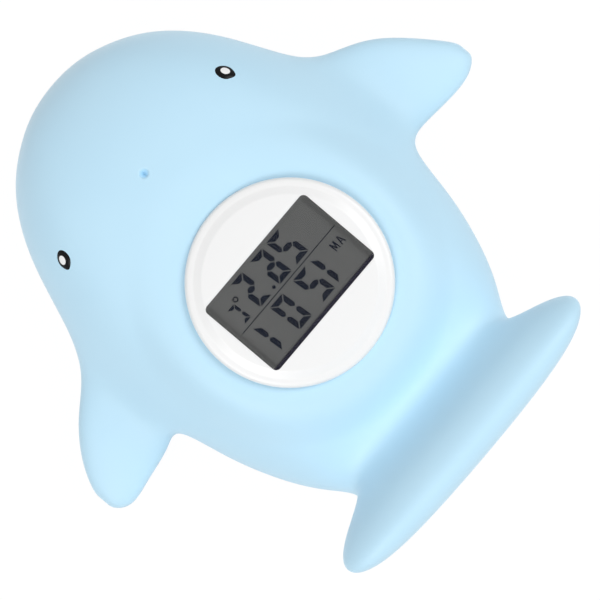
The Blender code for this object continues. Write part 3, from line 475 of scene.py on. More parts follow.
# Eyes
# Each eye is a glossy black almond of moulded plastic set into the skin, with a white oval
# printed on its outer half. Its length follows the side of the head, and the left eye sits a
# little further forward than the right one.
EYE_MIDDLE = 1.05 * MM
EYE_APART = 27.0 * MM
EYE_Y = -34.1 * MM
EYE_SKEW = 0.25 * MM
EYE_HALF = Vector((2.65, 1.95, 0.75)) * MM
EYE_TAPER = (0.42, 0.1)
EYE_SUNK = 0.6
EYE_TURN = 23.0
EYE_SOCKET = 0.06 * MM
WHITE_HALF = (1.08 * MM, 0.9 * MM, 10.0 * MM)
WHITE_OUT = 0.2 * MM
WHITE_AHEAD = 0.1 * MM


def eye_frame(side):
    """Where an eye sits and how it is turned: z out of the skin, x along the eye."""
    from_above = Vector((EYE_MIDDLE + side * EYE_APART, EYE_Y - side * EYE_SKEW, 2 * SEAT_Z))
    spot, normal, _, _ = skin_tree.ray_cast(from_above, Vector((0.0, 0.0, -1.0)))
    turn = math.radians(EYE_TURN)
    along = Vector((side * math.sin(turn), math.cos(turn), 0.0))
    along = (along - normal * along.dot(normal)).normalized()
    turned = Matrix((along, normal.cross(along), normal)).transposed().to_4x4()
    return Matrix.Translation(spot - normal * EYE_HALF.z * EYE_SUNK) @ turned


def eye_form(matrix, grow):
    """An almond dome, pointed towards the tail, or its slightly larger socket."""
    bpy.ops.object.select_all(action="DESELECT")
    bpy.ops.mesh.primitive_uv_sphere_add(segments=64, ring_count=32, radius=1.0)
    obj = bpy.context.active_object
    for vert in obj.data.vertices:
        taper = EYE_TAPER[0] if vert.co.x > 0 else EYE_TAPER[1]
        narrow = 1.0 - taper * vert.co.x * vert.co.x
        vert.co = Vector((
            vert.co.x * (EYE_HALF.x + grow),
            vert.co.y * narrow * (EYE_HALF.y + grow),
            vert.co.z * (EYE_HALF.z + grow),
        ))
    obj.data.transform(matrix)
    return obj


def lay_over(made, mask, colour):
    """Lays another colour over a material where a mask is 1."""
    nodes, links = made.node_tree.nodes, made.node_tree.links
    base = nodes["Principled BSDF"].inputs["Base Color"]
    mixed = nodes.new("ShaderNodeMix")
    mixed.data_type = "RGBA"
    mixed.inputs["B"].default_value = (*colour, 1.0)
    links.new(mask, mixed.inputs["Factor"])
    links.new(base.links[0].from_socket, mixed.inputs["A"])
    links.new(mixed.outputs["Result"], base)


def eye_gloss(name, matrix, side):
    """Glossy black, with the white oval drawn in the eye's own frame."""
    made = finish(name, shade(8, 8, 10), shade(15, 15, 18), 0.22, spread=0.04,
                  relief=0.002 * MM, shine=0.12)
    nodes, links = made.node_tree.nodes, made.node_tree.links
    own = nodes.new("ShaderNodeMapping")
    own.vector_type = "TEXTURE"
    middle = matrix @ Vector((-WHITE_AHEAD, -side * WHITE_OUT, 0.0))
    own.inputs["Location"].default_value = middle
    own.inputs["Rotation"].default_value = matrix.to_euler()
    own.inputs["Scale"].default_value = WHITE_HALF
    reach = nodes.new("ShaderNodeVectorMath")
    reach.operation = "LENGTH"
    inside = nodes.new("ShaderNodeMapRange")
    inside.interpolation_type = "SMOOTHSTEP"
    inside.inputs["From Min"].default_value = 0.94
    inside.inputs["From Max"].default_value = 1.02
    inside.inputs["To Min"].default_value = 1.0
    inside.inputs["To Max"].default_value = 0.0
    links.new(nodes["place"].outputs["Object"], own.inputs["Vector"])
    links.new(own.outputs["Vector"], reach.inputs[0])
    links.new(reach.outputs["Value"], inside.inputs["Value"])
    lay_over(made, inside.outputs["Result"], shade(250, 250, 250))
    return made


for word, side in (("left", 1), ("right", -1)):
    matrix = eye_frame(side)
    cut_by(skin, eye_form(matrix, EYE_SOCKET))
    eye = eye_form(matrix, 0.0)
    only(eye)
    bpy.ops.object.shade_smooth()
    take_up(eye, f"eye_{word}_dome", eye_gloss(f"eye_gloss_{word}", matrix, side),
            "eye_black", f"eye_{word}")

smooth(skin, 40)
take_up(skin, "whale_skin", vinyl(), "blue_vinyl", "soft_body")

# Module face
# The front of the case is one white moulding: a flat round face with a window, a sloping
# border, and a rounded flange that lies on the skin over a neck pushed through its hole.
FACE_Z = 42.9 * MM
FLANGE_Z = SEAT_Z + 0.3 * MM
FLANGE_R = 22.8 * MM
NECK_R = 21.6 * MM
CASE_WALL = 1.5 * MM
FACE_PLATE = 1.6 * MM
SKIRT_END = 28.15 * MM
BEAD_TOP = 37.3 * MM
LENS_HALF = (16.5 * MM, 10.25 * MM)
LENS_CORNER = 1.1 * MM
LENS_GAP = 0.15 * MM
LENS_POCKET = 1.0 * MM
LEDGE = 0.6 * MM
FACE_PROFILE = (
    # radius and depth below the face: flat middle, sloping border, shallow groove, rounded rim
    (0.0, 0.0), (18.95, 0.0), (19.15, 0.03), (19.4, 0.13), (20.7, 0.75), (20.95, 0.83),
    (21.2, 0.84), (21.9, 0.9), (22.3, 1.04), (22.6, 1.34), (22.75, 1.7), (22.8, 2.0),
)


def rounded_plate(half_x, half_y, low, high, corner, edge=0.0):
    """A flat plate centred on the module, its upright edges rounded and its rims eased."""
    bpy.ops.object.select_all(action="DESELECT")
    bpy.ops.mesh.primitive_cube_add(
        size=1.0, location=(MODULE.x, MODULE.y, (low + high) / 2),
        scale=(2 * half_x, 2 * half_y, high - low),
    )
    obj = bpy.context.active_object
    bpy.ops.object.transform_apply(location=True, rotation=True, scale=True)
    if corner:
        bpy.ops.object.mode_set(mode="EDIT")
        bpy.ops.mesh.select_mode(type="EDGE")
        bpy.ops.mesh.select_all(action="DESELECT")
        shape = bmesh.from_edit_mesh(obj.data)
        for edge_line in shape.edges:
            start, end = edge_line.verts
            edge_line.select = abs(start.co.z - end.co.z) > 0.5 * (high - low)
        bmesh.update_edit_mesh(obj.data)
        bpy.ops.mesh.bevel(offset=corner, segments=10, affect="EDGES")
        bpy.ops.object.mode_set(mode="OBJECT")
    if edge:
        with_modifier(obj, "BEVEL", width=edge, segments=3, limit_method="ANGLE",
                      angle_limit=math.radians(60))
    return obj


face = spun(
    [(radius * MM, FACE_Z - depth * MM) for radius, depth in FACE_PROFILE]
    + [
        (FLANGE_R, FLANGE_Z + 0.25 * MM),
        (FLANGE_R - 0.08 * MM, FLANGE_Z + 0.08 * MM), (FLANGE_R - 0.25 * MM, FLANGE_Z),
        (NECK_R, FLANGE_Z), (NECK_R, BEAD_TOP), (NECK_R + 0.8 * MM, BEAD_TOP - 0.4 * MM),
        (NECK_R + 0.8 * MM, BEAD_TOP - 0.8 * MM), (NECK_R, BEAD_TOP - 2.0 * MM),
        (NECK_R, SKIRT_END), (NECK_R - CASE_WALL, SKIRT_END),
        (NECK_R - CASE_WALL, FACE_Z - FACE_PLATE), (0.0, FACE_Z - FACE_PLATE),
    ],
    MODULE, steps=160,
)
cut_by(face, rounded_plate(
    LENS_HALF[0] + LENS_GAP, LENS_HALF[1] + LENS_GAP, FACE_Z - LENS_POCKET, FACE_Z + MM,
    LENS_CORNER + LENS_GAP,
))
cut_by(face, rounded_plate(
    LENS_HALF[0] - LEDGE, LENS_HALF[1] - LEDGE, FACE_Z - 2 * FACE_PLATE, FACE_Z, LENS_CORNER / 2,
))
smooth(face, 35)
take_up(
    face, "module_face",
    finish("white_moulding", shade(244, 244, 244), shade(241, 242, 242), 0.3, spread=0.08,
           fineness=2600.0, relief=0.004 * MM),
    "white_case", "front_case",
)

# Display window
# A clear acrylic lens lies almost flush in the face, stuck to its ledge with a thin frame of
# grey adhesive film. The film reaches into the gap round the lens, where its grey is painted
# shadow, and like the display under it, it has painted shade along the edge to the tail.
LENS_LOW = FACE_Z - 0.85 * MM
LENS_HIGH = FACE_Z - 0.05 * MM
LENS_EDGE = 0.08 * MM
# where the painted shade along the edge towards the tail begins and ends, measured in from that
# edge
SHADE_FROM_EDGE = (0.95 * MM, 0.6 * MM)
FILM_GAP = 0.01 * MM


def clear_acrylic():
    """Clear acrylic that lets the light through to the display below."""
    made = bpy.data.materials.new("clear_acrylic")
    made.use_nodes = True
    nodes, links = made.node_tree.nodes, made.node_tree.links
    shader = nodes["Principled BSDF"]
    shader.inputs["Base Color"].default_value = (1.0, 1.0, 1.0, 1.0)
    shader.inputs["Transmission Weight"].default_value = 1.0
    shader.inputs["IOR"].default_value = 1.2
    place = nodes.new("ShaderNodeTexCoord")
    haze = nodes.new("ShaderNodeTexNoise")
    haze.inputs["Scale"].default_value = 220.0
    gloss = nodes.new("ShaderNodeMapRange")
    gloss.inputs["To Min"].default_value = 0.0
    gloss.inputs["To Max"].default_value = 0.02
    passing = nodes.new("ShaderNodeLightPath")
    straight = nodes.new("ShaderNodeBsdfTransparent")
    either = nodes.new("ShaderNodeMixShader")
    links.new(place.outputs["Object"], haze.inputs["Vector"])
    links.new(haze.outputs["Fac"], gloss.inputs["Value"])
    links.new(gloss.outputs["Result"], shader.inputs["Roughness"])
    links.new(passing.outputs["Is Camera Ray"], either.inputs["Fac"])
    links.new(straight.outputs["BSDF"], either.inputs[1])
    links.new(shader.outputs["BSDF"], either.inputs[2])
    links.new(either.outputs["Shader"], nodes["Material Output"].inputs["Surface"])
    return made


def grey_with_painted_shade(name):
    """Grey film, a little uneven, with painted shade along the edge towards the tail."""
    made = finish(name, shade(86, 87, 87), shade(102, 102, 101), 0.35, spread=0.05,
                  relief=0.001 * MM, shine=0.08)
    nodes, links = made.node_tree.nodes, made.node_tree.links
    parts = nodes.new("ShaderNodeSeparateXYZ")
    edge = nodes.new("ShaderNodeMapRange")
    edge.interpolation_type = "SMOOTHSTEP"
    edge.inputs["From Min"].default_value = MODULE.y + LENS_HALF[1] - SHADE_FROM_EDGE[0]
    edge.inputs["From Max"].default_value = MODULE.y + LENS_HALF[1] - SHADE_FROM_EDGE[1]
    links.new(nodes["place"].outputs["Object"], parts.inputs[0])
    links.new(parts.outputs["Y"], edge.inputs["Value"])
    # painted shade: a darker grey along the edge towards the tail stands in for the shade there
    lay_over(made, edge.outputs["Result"], shade(36, 34, 48))
    return made


lens = rounded_plate(*LENS_HALF, LENS_LOW, LENS_HIGH, LENS_CORNER, edge=LENS_EDGE)
smooth(lens, 30)
take_up(lens, "window_lens", clear_acrylic(), "clear_lens", "display_lens")

# the film fills the gap round the lens, so that its grey stands in for the shadow in that gap
film = rounded_plate(LENS_HALF[0] + LENS_GAP - 2 * FILM_GAP, LENS_HALF[1] + LENS_GAP - 2 * FILM_GAP,
                     FACE_Z - LENS_POCKET + FILM_GAP, LENS_LOW - FILM_GAP, LENS_CORNER)
cut_by(film, rounded_plate(LENS_HALF[0] - LEDGE, LENS_HALF[1] - LEDGE,
                           FACE_Z - 2 * LENS_POCKET, FACE_Z, LENS_CORNER / 2))
take_up(film, "window_film", grey_with_painted_shade("grey_film"), "lcd_glass")

# Display
# The liquid crystal panel is two sheets of glass between grey polarisers, with painted shade
# along the edge towards the tail. It shows its readout mirrored, as the photograph does.
PANEL_HALF = (16.6 * MM, 10.4 * MM)
PANEL_LOW = 39.15 * MM
PANEL_HIGH = 41.15 * MM
PANEL_EDGE = 0.1 * MM
INK = 0.03 * MM
INK_GAP = 0.01 * MM
# The readout is drawn in the panel's own place: from its middle, towards -X and towards +Y
DIGIT_HIGH = 8.0 * MM
DIGIT_THICK = 1.25 * MM
DIGIT_GAP = 0.17 * MM
DIGIT_LEAN = 0.075
TOP_ROW = -9.4 * MM
LOW_ROW = 0.2 * MM
FIGURES = (
    # lit segments, left edge, top, width
    ("abged", -8.7 * MM, TOP_ROW, 3.75 * MM),
    ("abgecd", -2.3 * MM, TOP_ROW, 4.05 * MM),
    ("afgcd", 3.1 * MM, TOP_ROW, 4.3 * MM),
    ("fe", -12.75 * MM, LOW_ROW, 3.4 * MM),
    ("abcdef", -7.0 * MM, LOW_ROW, 4.2 * MM),
    ("afgcd", 0.65 * MM, LOW_ROW, 4.3 * MM),
    ("fe", 6.3 * MM, LOW_ROW, 3.4 * MM),
    # the degree scale's letter also has its own height, thickness and gap
    ("abcd", -13.5 * MM, -6.25 * MM, 2.2 * MM, 4.6 * MM, 0.72 * MM, 0.12 * MM),
)
RULE_AT = (-15.1 * MM, -0.75 * MM)
RULE_SIZE = (30.7 * MM, 0.2 * MM)
POINT_AT = (-2.97 * MM, -2.0 * MM)
POINT_R = 0.42 * MM
DEGREE_AT = (10.35 * MM, -6.6 * MM)
DEGREE_R = 0.52 * MM
DEGREE_LINE_R = 0.11 * MM
LETTER_TOP = 1.25 * MM
LETTERS = (
    # left edge, then the outline of an M, of an A and of the A's bar
    (11.5, ((0.0, 0.0), (0.34, 0.0), (0.7, 1.1), (1.06, 0.0), (1.4, 0.0), (1.4, 2.1), (1.12, 2.1),
            (1.12, 0.85), (0.8, 1.8), (0.6, 1.8), (0.28, 0.85), (0.28, 2.1), (0.0, 2.1))),
    (13.35, ((0.0, 2.1), (0.54, 0.0), (0.86, 0.0), (1.4, 2.1), (1.1, 2.1), (0.7, 0.5), (0.3, 2.1))),
    (13.35, ((0.52, 1.25), (0.88, 1.25), (0.95, 1.5), (0.45, 1.5))),
)


def segment(letter, wide, high, thick, gap):
    """The outline of one segment of a seven-segment figure, y running down."""
    half = high / 2
    slim = thick / 2
    outlines = {
        "a": ((gap, 0), (wide - gap, 0), (wide - thick - gap, thick), (thick + gap, thick)),
        "f": ((0, gap), (thick, thick + gap), (thick, half - slim - gap), (slim, half - gap),
              (0, half - 0.8 * slim - gap)),
        "g": ((slim + gap, half), (thick + gap, half - slim), (wide - thick - gap, half - slim),
              (wide - slim - gap, half), (wide - thick - gap, half + slim),
              (thick + gap, half + slim)),
    }
    mirrored = {"b": ("f", True, False), "e": ("f", False, True), "c": ("f", True, True),
                "d": ("a", False, True)}
    source, across, down = mirrored.get(letter, (letter, False, False))
    return [
        (wide - x if across else x, high - y if down else y) for x, y in outlines[source]
    ]


def ink_slab(points, left, top, lean):
    """A thin slab of ink over the panel from points measured right and down on the readout."""
    bpy.ops.object.select_all(action="DESELECT")
    bpy.ops.mesh.primitive_circle_add(vertices=len(points), radius=MM, fill_type="NGON")
    obj = bpy.context.active_object
    low = PANEL_HIGH + INK_GAP
    for vert, (x, y) in zip(obj.data.vertices, points):
        vert.co = Vector((MODULE.x - (left + x + lean * y), MODULE.y + top + y, low))
    bpy.ops.object.mode_set(mode="EDIT")
    bpy.ops.mesh.select_all(action="SELECT")
    bpy.ops.mesh.extrude_region_move(TRANSFORM_OT_translate={"value": (0.0, 0.0, INK)})
    bpy.ops.mesh.select_all(action="SELECT")
    bpy.ops.mesh.normals_make_consistent(inside=False)
    bpy.ops.object.mode_set(mode="OBJECT")
    return obj


def figure(letters, left, top, wide, high=DIGIT_HIGH, thick=DIGIT_THICK, gap=DIGIT_GAP):
    """The lit segments of one figure."""
    return [
        ink_slab(segment(letter, wide, high, thick, gap), left, top, DIGIT_LEAN)
        for letter in letters
    ]


panel = rounded_plate(*PANEL_HALF, PANEL_LOW, PANEL_HIGH, 0.0, edge=PANEL_EDGE)
take_up(panel, "display_panel", grey_with_painted_shade("grey_polariser"), "lcd_glass", "lcd_panel")

ink = [piece for place in FIGURES for piece in figure(*place)]
rule_x, rule_y = RULE_SIZE
ink.append(ink_slab([(0.0, 0.0), (rule_x, 0.0), (rule_x, rule_y), (0.0, rule_y)], *RULE_AT, 0.0))
turns = [i * math.tau / 16 for i in range(16)]
ink.append(ink_slab(
    [(POINT_R * math.cos(turn), POINT_R * math.sin(turn)) for turn in turns], *POINT_AT, 0.0,
))
bpy.ops.object.select_all(action="DESELECT")
bpy.ops.mesh.primitive_torus_add(
    major_segments=40, minor_segments=8, major_radius=DEGREE_R, minor_radius=DEGREE_LINE_R,
    location=(MODULE.x + DEGREE_AT[0], MODULE.y + DEGREE_AT[1],
              PANEL_HIGH + DEGREE_LINE_R + 2 * INK_GAP),
)
bpy.ops.object.transform_apply(location=True, rotation=True, scale=True)
ink.append(bpy.context.active_object)
for left, outline in LETTERS:
    ink.append(ink_slab([(x * MM, y * MM) for x, y in outline], left * MM, LETTER_TOP, DIGIT_LEAN))
bpy.ops.object.select_all(action="DESELECT")
for piece in ink:
    piece.select_set(True)
bpy.context.view_layer.objects.active = ink[0]
bpy.ops.object.join()
take_up(
    ink[0], "readout",
    finish("blue_black_segments", shade(4, 14, 30), shade(22, 22, 30), 0.5, drift=0.45,
           spread=0.02, fineness=3000.0, relief=0.001 * MM, shine=0.08),
    "lcd_glass",
)

# Rear housing
# The back of the case is a white moulded cup with bosses for the board and the door's screws.
# It pushes up into the front inside the whale, and its base fills the hole in the belly.


def worked_copy(node, material, slot, soften):
    """A copy of a CAD piece made whole, its rims eased and its round walls smooth."""
    obj = bpy.data.objects.new(node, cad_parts[node].data.copy())
    bpy.context.scene.collection.objects.link(obj)
    only(obj)
    bpy.ops.mesh.customdata_custom_splitnormals_clear()
    bpy.ops.object.mode_set(mode="EDIT")
    bpy.ops.mesh.select_mode(type="VERT")
    bpy.ops.mesh.select_all(action="SELECT")
    bpy.ops.mesh.remove_doubles(threshold=WELD)
    bpy.ops.mesh.dissolve_limited(angle_limit=math.radians(1))
    bpy.ops.mesh.normals_make_consistent(inside=False)
    bpy.ops.object.mode_set(mode="OBJECT")
    with_modifier(obj, "BEVEL", width=soften, segments=2, limit_method="ANGLE",
                  angle_limit=math.radians(50))
    smooth(obj, 32)
    return take_up(obj, f"{node}_finished", material, slot, node)


worked_copy(
    "rear_case",
    finish("white_rear_moulding", shade(240, 240, 238), shade(235, 236, 234), 0.42, spread=0.1,
           fineness=2200.0, relief=0.008 * MM),
    "white_rear_case", 0.06 * MM,
)

# Battery door
# A white round door with a slot for a coin closes the battery's place in the base. Two small
# zinc-plated screws with a cross recess hold its ears down on a rubber ring.
DOOR_SCREW = Vector((13.3 * MM, MODULE.y - 3.8 * MM, 0.45 * MM))
RECESS = (2.1 * MM, 0.45 * MM, 0.7 * MM)
RECESS_TURNS = (30, 120)

worked_copy(
    "battery_door",
    finish("white_door_moulding", shade(236, 236, 234), shade(231, 232, 230), 0.48, spread=0.12,
           fineness=2000.0, relief=0.01 * MM),
    "white_door", 0.12 * MM,
)
zinc = finish("zinc_plated_steel", (0.62, 0.63, 0.65), (0.52, 0.54, 0.57), 0.3, drift=0.8,
              spread=0.2, fineness=3500.0, relief=0.004 * MM, metallic=1.0)
for number, side in ((1, -1), (2, 1)):
    door_screw = worked_copy(f"door_screw_{number}", zinc, "screw_steel", 0.16 * MM)
    for turn in RECESS_TURNS:
        bpy.ops.object.select_all(action="DESELECT")
        bpy.ops.mesh.primitive_cube_add(
            size=1.0, location=(side * DOOR_SCREW.x, DOOR_SCREW.y, DOOR_SCREW.z), scale=RECESS,
            rotation=(0.0, 0.0, math.radians(turn)),
        )
        blade = bpy.context.active_object
        bpy.ops.object.transform_apply(location=True, rotation=True, scale=True)
        cut_by(door_screw, blade)

# Buttons
# Two grey rubber buttons, for the mode and for setting the clock, stand half a millimetre out
# of the base. A flange inside keeps each from falling out, and its stem works the switch.
BUTTON_AT = (8.8 * MM, MODULE.y + 11.2 * MM)
BUTTON_PROFILE = (
    (0.0, 0.92), (0.7, 0.88), (1.3, 0.76), (1.7, 0.7), (1.95, 0.72), (2.12, 0.82), (2.2, 1.02),
    (2.2, 3.5), (3.0, 3.5), (3.0, 4.2), (1.2, 4.2), (1.2, 6.9), (0.0, 6.9),
)
rubber = finish("grey_button_rubber", shade(152, 156, 162), shade(140, 145, 152), 0.6,
                spread=0.14, fineness=2600.0, relief=0.015 * MM)
for word, side in (("mode", -1), ("set", 1)):
    button = spun([(r * MM, z * MM) for r, z in BUTTON_PROFILE],
                  Vector((side * BUTTON_AT[0], BUTTON_AT[1], 0.0)), steps=64)
    smooth(button, 35)
    take_up(button, f"{word}_button_cap", rubber, "button_grey", f"{word}_button",
            body=f"{word}_button")

# Probe
# A drawn stainless cap stands out of the base where it meets the water. It holds the dipped
# bead of the thermistor, whose two tinned leads run up to the lower board.
PROBE_AT = Vector((0.0, MODULE.y + 13.6 * MM, 0.0))
PROBE_PROFILE = (
    (0.0, 0.4), (1.0, 0.42), (1.4, 0.5), (1.7, 0.66), (1.9, 0.88), (2.0, 1.2), (2.0, 3.5),
    (2.8, 3.5), (2.8, 4.1), (1.65, 4.1), (1.65, 1.25), (1.15, 0.75), (0.0, 0.75),
)
LEADS = (3.8 * MM, 12.0 * MM)


def drawn_steel(name, centre, colour, roughness):
    """Polished steel with the fine rings that drawing and turning leave round its axis."""
    made = finish(name, colour, tuple(0.85 * part for part in colour), roughness, drift=0.6,
                  spread=0.12, fineness=3000.0, relief=0.002 * MM, metallic=1.0)
    nodes, links = made.node_tree.nodes, made.node_tree.links
    own = nodes.new("ShaderNodeMapping")
    own.vector_type = "TEXTURE"
    own.inputs["Location"].default_value = centre
    rings = nodes.new("ShaderNodeTexWave")
    rings.wave_type = "RINGS"
    rings.rings_direction = "Z"
    rings.inputs["Scale"].default_value = 2200.0
    rings.inputs["Distortion"].default_value = 1.5
    links.new(nodes["place"].outputs["Object"], own.inputs["Vector"])
    links.new(own.outputs["Vector"], rings.inputs["Vector"])
    raise_by(made, rings.outputs["Fac"], 0.25, 0.003 * MM)
    return made


def coloured_where(made, axis, start, end, colour):
    """Gives a material another colour between two heights or places along one axis."""
    lay_over(made, band(made, axis, (start + end) / 2, (end - start) / 2), colour)
    return made


def dress(material, *nodes):
    """Gives CAD pieces that stay as they are their real finish."""
    for node in nodes:
        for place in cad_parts[node].material_slots:
            place.material = material


probe = spun([(r * MM, z * MM) for r, z in PROBE_PROFILE], PROBE_AT, steps=72)
smooth(probe, 35)
take_up(probe, "probe_cap_drawn", drawn_steel("drawn_stainless", PROBE_AT, (0.62, 0.63, 0.64), 0.2),
        "probe_steel", "probe_cap")
dress(
    coloured_where(
        finish("dipped_epoxy_bead", shade(26, 26, 30), shade(38, 38, 42), 0.35, spread=0.1,
               fineness=2500.0),
        "Z", *LEADS, shade(196, 196, 192)),
    "thermistor",
)

# Boards
# The main board behind the display and the round lower board over the battery are green
# glass-fibre laminate with copper tracks under solder resist, held by small zinc screws.


def laminate(name, pitch):
    """Green solder resist over tracks that run along and across the board."""
    made = finish(name, shade(20, 88, 50), shade(16, 76, 44), 0.34, spread=0.1,
                  fineness=2600.0, relief=0.006 * MM)
    nodes, links = made.node_tree.nodes, made.node_tree.links
    tracks = nodes.new("ShaderNodeTexBrick")
    tracks.inputs["Scale"].default_value = 1.0 / pitch
    tracks.inputs["Mortar Size"].default_value = 0.09
    tracks.inputs["Brick Width"].default_value = 3.1
    tracks.inputs["Row Height"].default_value = 0.8
    links.new(nodes["place"].outputs["Object"], tracks.inputs["Vector"])
    lay_over(made, tracks.outputs["Fac"], shade(58, 136, 76))
    raise_by(made, tracks.outputs["Fac"], 0.5, 0.03 * MM)
    return made


dress(laminate("main_board_laminate", 1.3 * MM), "main_board")
dress(laminate("lower_board_laminate", 1.7 * MM), "lower_board")
dress(zinc, *(f"board_screw_{number}" for number in (1, 2, 3, 4)), "lower_screw_1",
      "lower_screw_2")

# Parts on the boards
# A black epoxy controller, a tinned clock crystal, two fired ceramic capacitors, a resistor and
# two black push switches are soldered to the boards. The small ones have tinned ends.
TINNED_SHARE = 0.22
dress(finish("black_epoxy_package", shade(24, 24, 25), shade(32, 32, 33), 0.5, spread=0.16,
             fineness=4200.0, relief=0.012 * MM), "controller_chip")
dress(finish("tinned_can", (0.70, 0.70, 0.71), (0.58, 0.58, 0.60), 0.24, drift=0.7,
             spread=0.14, fineness=2400.0, relief=0.004 * MM, stretch=(1.0, 8.0, 8.0),
             metallic=1.0), "clock_crystal")
for node, colour in (("capacitor_1", (168, 132, 92)), ("capacitor_2", (158, 122, 84)),
                     ("resistor", (26, 26, 28))):
    low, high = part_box(node)
    axis = 0 if high[0] - low[0] > high[1] - low[1] else 1
    end = TINNED_SHARE * (high[axis] - low[axis])
    fired = finish(f"{node}_fired", shade(*colour), shade(*(0.85 * part for part in colour)), 0.45,
                   spread=0.12, fineness=4000.0, relief=0.008 * MM)
    for start, stop in ((low[axis] - end, low[axis] + end), (high[axis] - end, high[axis] + end)):
        coloured_where(fired, "XY"[axis], start, stop, shade(204, 204, 200))
    dress(fired, node)
dress(finish("switch_black_moulding", shade(28, 28, 29), shade(36, 36, 37), 0.42, spread=0.12,
             fineness=3000.0, relief=0.01 * MM), "mode_switch", "set_switch")

# Display contacts
# Two strips of layered conducting rubber join the glass to the main board, and a white film
# between them throws the light back through the display.


def layered(name, light, dark, pitch, roughness):
    """Thin layers side by side along X."""
    made = finish(name, shade(*light), shade(*light), roughness, spread=0.1,
                  fineness=3000.0, relief=0.006 * MM)
    nodes, links = made.node_tree.nodes, made.node_tree.links
    bands = nodes.new("ShaderNodeTexWave")
    # this texture repeats every tau / 20 of its own unit
    bands.inputs["Scale"].default_value = math.tau / 20.0 / pitch
    sharp = nodes.new("ShaderNodeMath")
    sharp.operation = "GREATER_THAN"
    sharp.inputs[1].default_value = 0.6
    links.new(nodes["place"].outputs["Object"], bands.inputs["Vector"])
    links.new(bands.outputs["Fac"], sharp.inputs[0])
    lay_over(made, sharp.outputs[0], shade(*dark))
    return made


dress(layered("zebra_rubber_layers", (150, 152, 160), (34, 35, 40), 0.36 * MM, 0.6),
      "zebra_strip_front", "zebra_strip_rear")
dress(finish("white_reflector_film", shade(236, 236, 230), shade(228, 228, 222), 0.55,
             spread=0.1, fineness=2000.0, relief=0.006 * MM), "reflector_plate")

# Ribbon cable
# A flexible film with six tinned tracks runs down the inside of the case between two black
# connectors, and carries the lower board's signals up to the main board.
dress(layered("ribbon_tracks", (222, 222, 210), (170, 168, 158), 1.0 * MM, 0.4), "ribbon_cable")
dress(finish("connector_moulding", shade(30, 30, 31), shade(38, 38, 39), 0.46, spread=0.12,
             fineness=3000.0, relief=0.01 * MM), "upper_connector", "lower_connector")

# Coin cell
# The nickel-plated coin cell lies on the door with its flat side down. A sprung strip presses
# on its cap, and a clip at its rim takes the other pole to the lower board.
dress(drawn_steel("coin_cell_steel", Vector((0.0, DOOR_SCREW.y, 0.0)), (0.66, 0.66, 0.67), 0.26),
      "coin_cell")
dress(finish("sprung_nickel_strip", (0.64, 0.61, 0.56), (0.54, 0.51, 0.47), 0.26, drift=0.7,
             spread=0.16, fineness=2600.0, relief=0.004 * MM, stretch=(8.0, 1.0, 1.0),
             metallic=1.0), "positive_contact", "negative_contact")

# Seals
# Black rubber rings in the case's groove and under the door keep the water out.
dress(finish("black_seal_rubber", shade(26, 26, 27), shade(34, 34, 35), 0.6, spread=0.12,
             fineness=2600.0, relief=0.012 * MM), "case_seal", "door_seal")

# Floor and light
# The whale lies on a plain white surface under two softboxes on either side of the camera, with
# a weaker even light from all round, as in a product photograph.
DOME = 0.4
LAMP_WATTS = 7.05
LAMP_PLACES = ((-0.8, 0.21, 1.0), (0.8, 0.21, 1.0))
LAMP_SIZE = 0.7
LAMP_AIM = Vector((0.0, 0.0, 0.03))
FLOOR_SIZE = 4.0
FLOOR_BELOW = 0.01 * MM
FLOOR_COLOUR = (0.92, 0.92, 0.92, 1.0)
FLOOR_GLOW = 1.03
GLOW_SHARE = 0.92
WHITE = (1.0, 1.0, 1.0, 1.0)

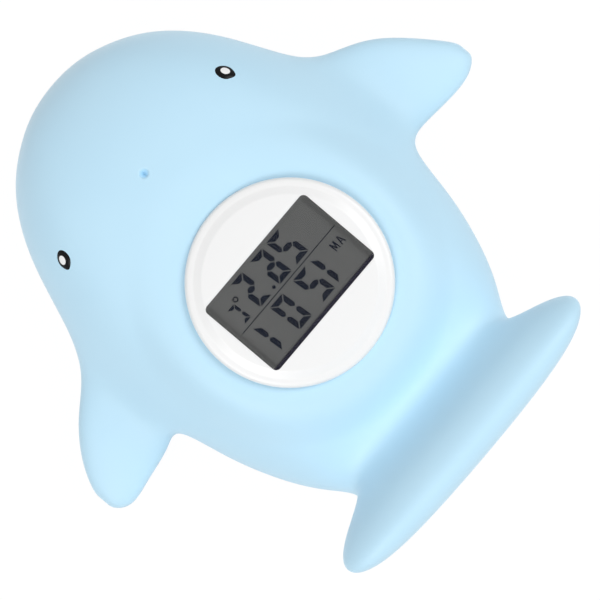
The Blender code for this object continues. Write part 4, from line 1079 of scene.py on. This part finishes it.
bpy.ops.object.select_all(action="DESELECT")
bpy.ops.mesh.primitive_plane_add(size=FLOOR_SIZE, location=(0.0, 0.0, -FLOOR_BELOW))
floor = bpy.context.active_object
floor.name = "white_floor"
bpy.ops.object.transform_apply(location=True, rotation=True, scale=True)
paper = bpy.data.materials.new("white_paper")
paper.use_nodes = True
nodes, links = paper.node_tree.nodes, paper.node_tree.links
nodes["Principled BSDF"].inputs["Base Color"].default_value = FLOOR_COLOUR
nodes["Principled BSDF"].inputs["Roughness"].default_value = 0.9
glow = nodes.new("ShaderNodeEmission")
glow.inputs["Strength"].default_value = FLOOR_GLOW
seen = nodes.new("ShaderNodeLightPath")
share = nodes.new("ShaderNodeMath")
share.operation = "MULTIPLY"
share.inputs[1].default_value = GLOW_SHARE
both = nodes.new("ShaderNodeMixShader")
links.new(seen.outputs["Is Camera Ray"], share.inputs[0])
links.new(share.outputs[0], both.inputs["Fac"])
links.new(nodes["Principled BSDF"].outputs["BSDF"], both.inputs[1])
links.new(glow.outputs["Emission"], both.inputs[2])
links.new(both.outputs["Shader"], nodes["Material Output"].inputs["Surface"])
floor.data.materials.append(paper)

world = bpy.data.worlds.new("white_room")
bpy.context.scene.world = world
world.use_nodes = True
nodes, links = world.node_tree.nodes, world.node_tree.links
dome = nodes["Background"]
dome.inputs["Color"].default_value = WHITE
dome.inputs["Strength"].default_value = DOME
shown = nodes.new("ShaderNodeBackground")
shown.inputs["Color"].default_value = WHITE
shown.inputs["Strength"].default_value = 1.0
seen = nodes.new("ShaderNodeLightPath")
mirrored = nodes.new("ShaderNodeMath")
mirrored.operation = "MAXIMUM"
through = nodes.new("ShaderNodeMath")
through.operation = "MAXIMUM"
room = nodes.new("ShaderNodeMixShader")
links.new(seen.outputs["Is Camera Ray"], mirrored.inputs[0])
links.new(seen.outputs["Is Glossy Ray"], mirrored.inputs[1])
links.new(mirrored.outputs[0], through.inputs[0])
links.new(seen.outputs["Is Transmission Ray"], through.inputs[1])
links.new(through.outputs[0], room.inputs["Fac"])
links.new(dome.outputs["Background"], room.inputs[1])
links.new(shown.outputs["Background"], room.inputs[2])
links.new(room.outputs["Shader"], nodes["World Output"].inputs["Surface"])

for number, place in enumerate(LAMP_PLACES):
    bpy.ops.object.light_add(type="AREA", location=place)
    lamp = bpy.context.active_object
    lamp.name = f"softbox_{number}"
    lamp.data.shape = "SQUARE"
    lamp.data.size = LAMP_SIZE
    lamp.data.energy = LAMP_WATTS
    aim = LAMP_AIM - lamp.location
    lamp.rotation_euler = aim.to_track_quat("-Z", "Y").to_euler()

bpy.context.scene.view_settings.view_transform = "Standard"
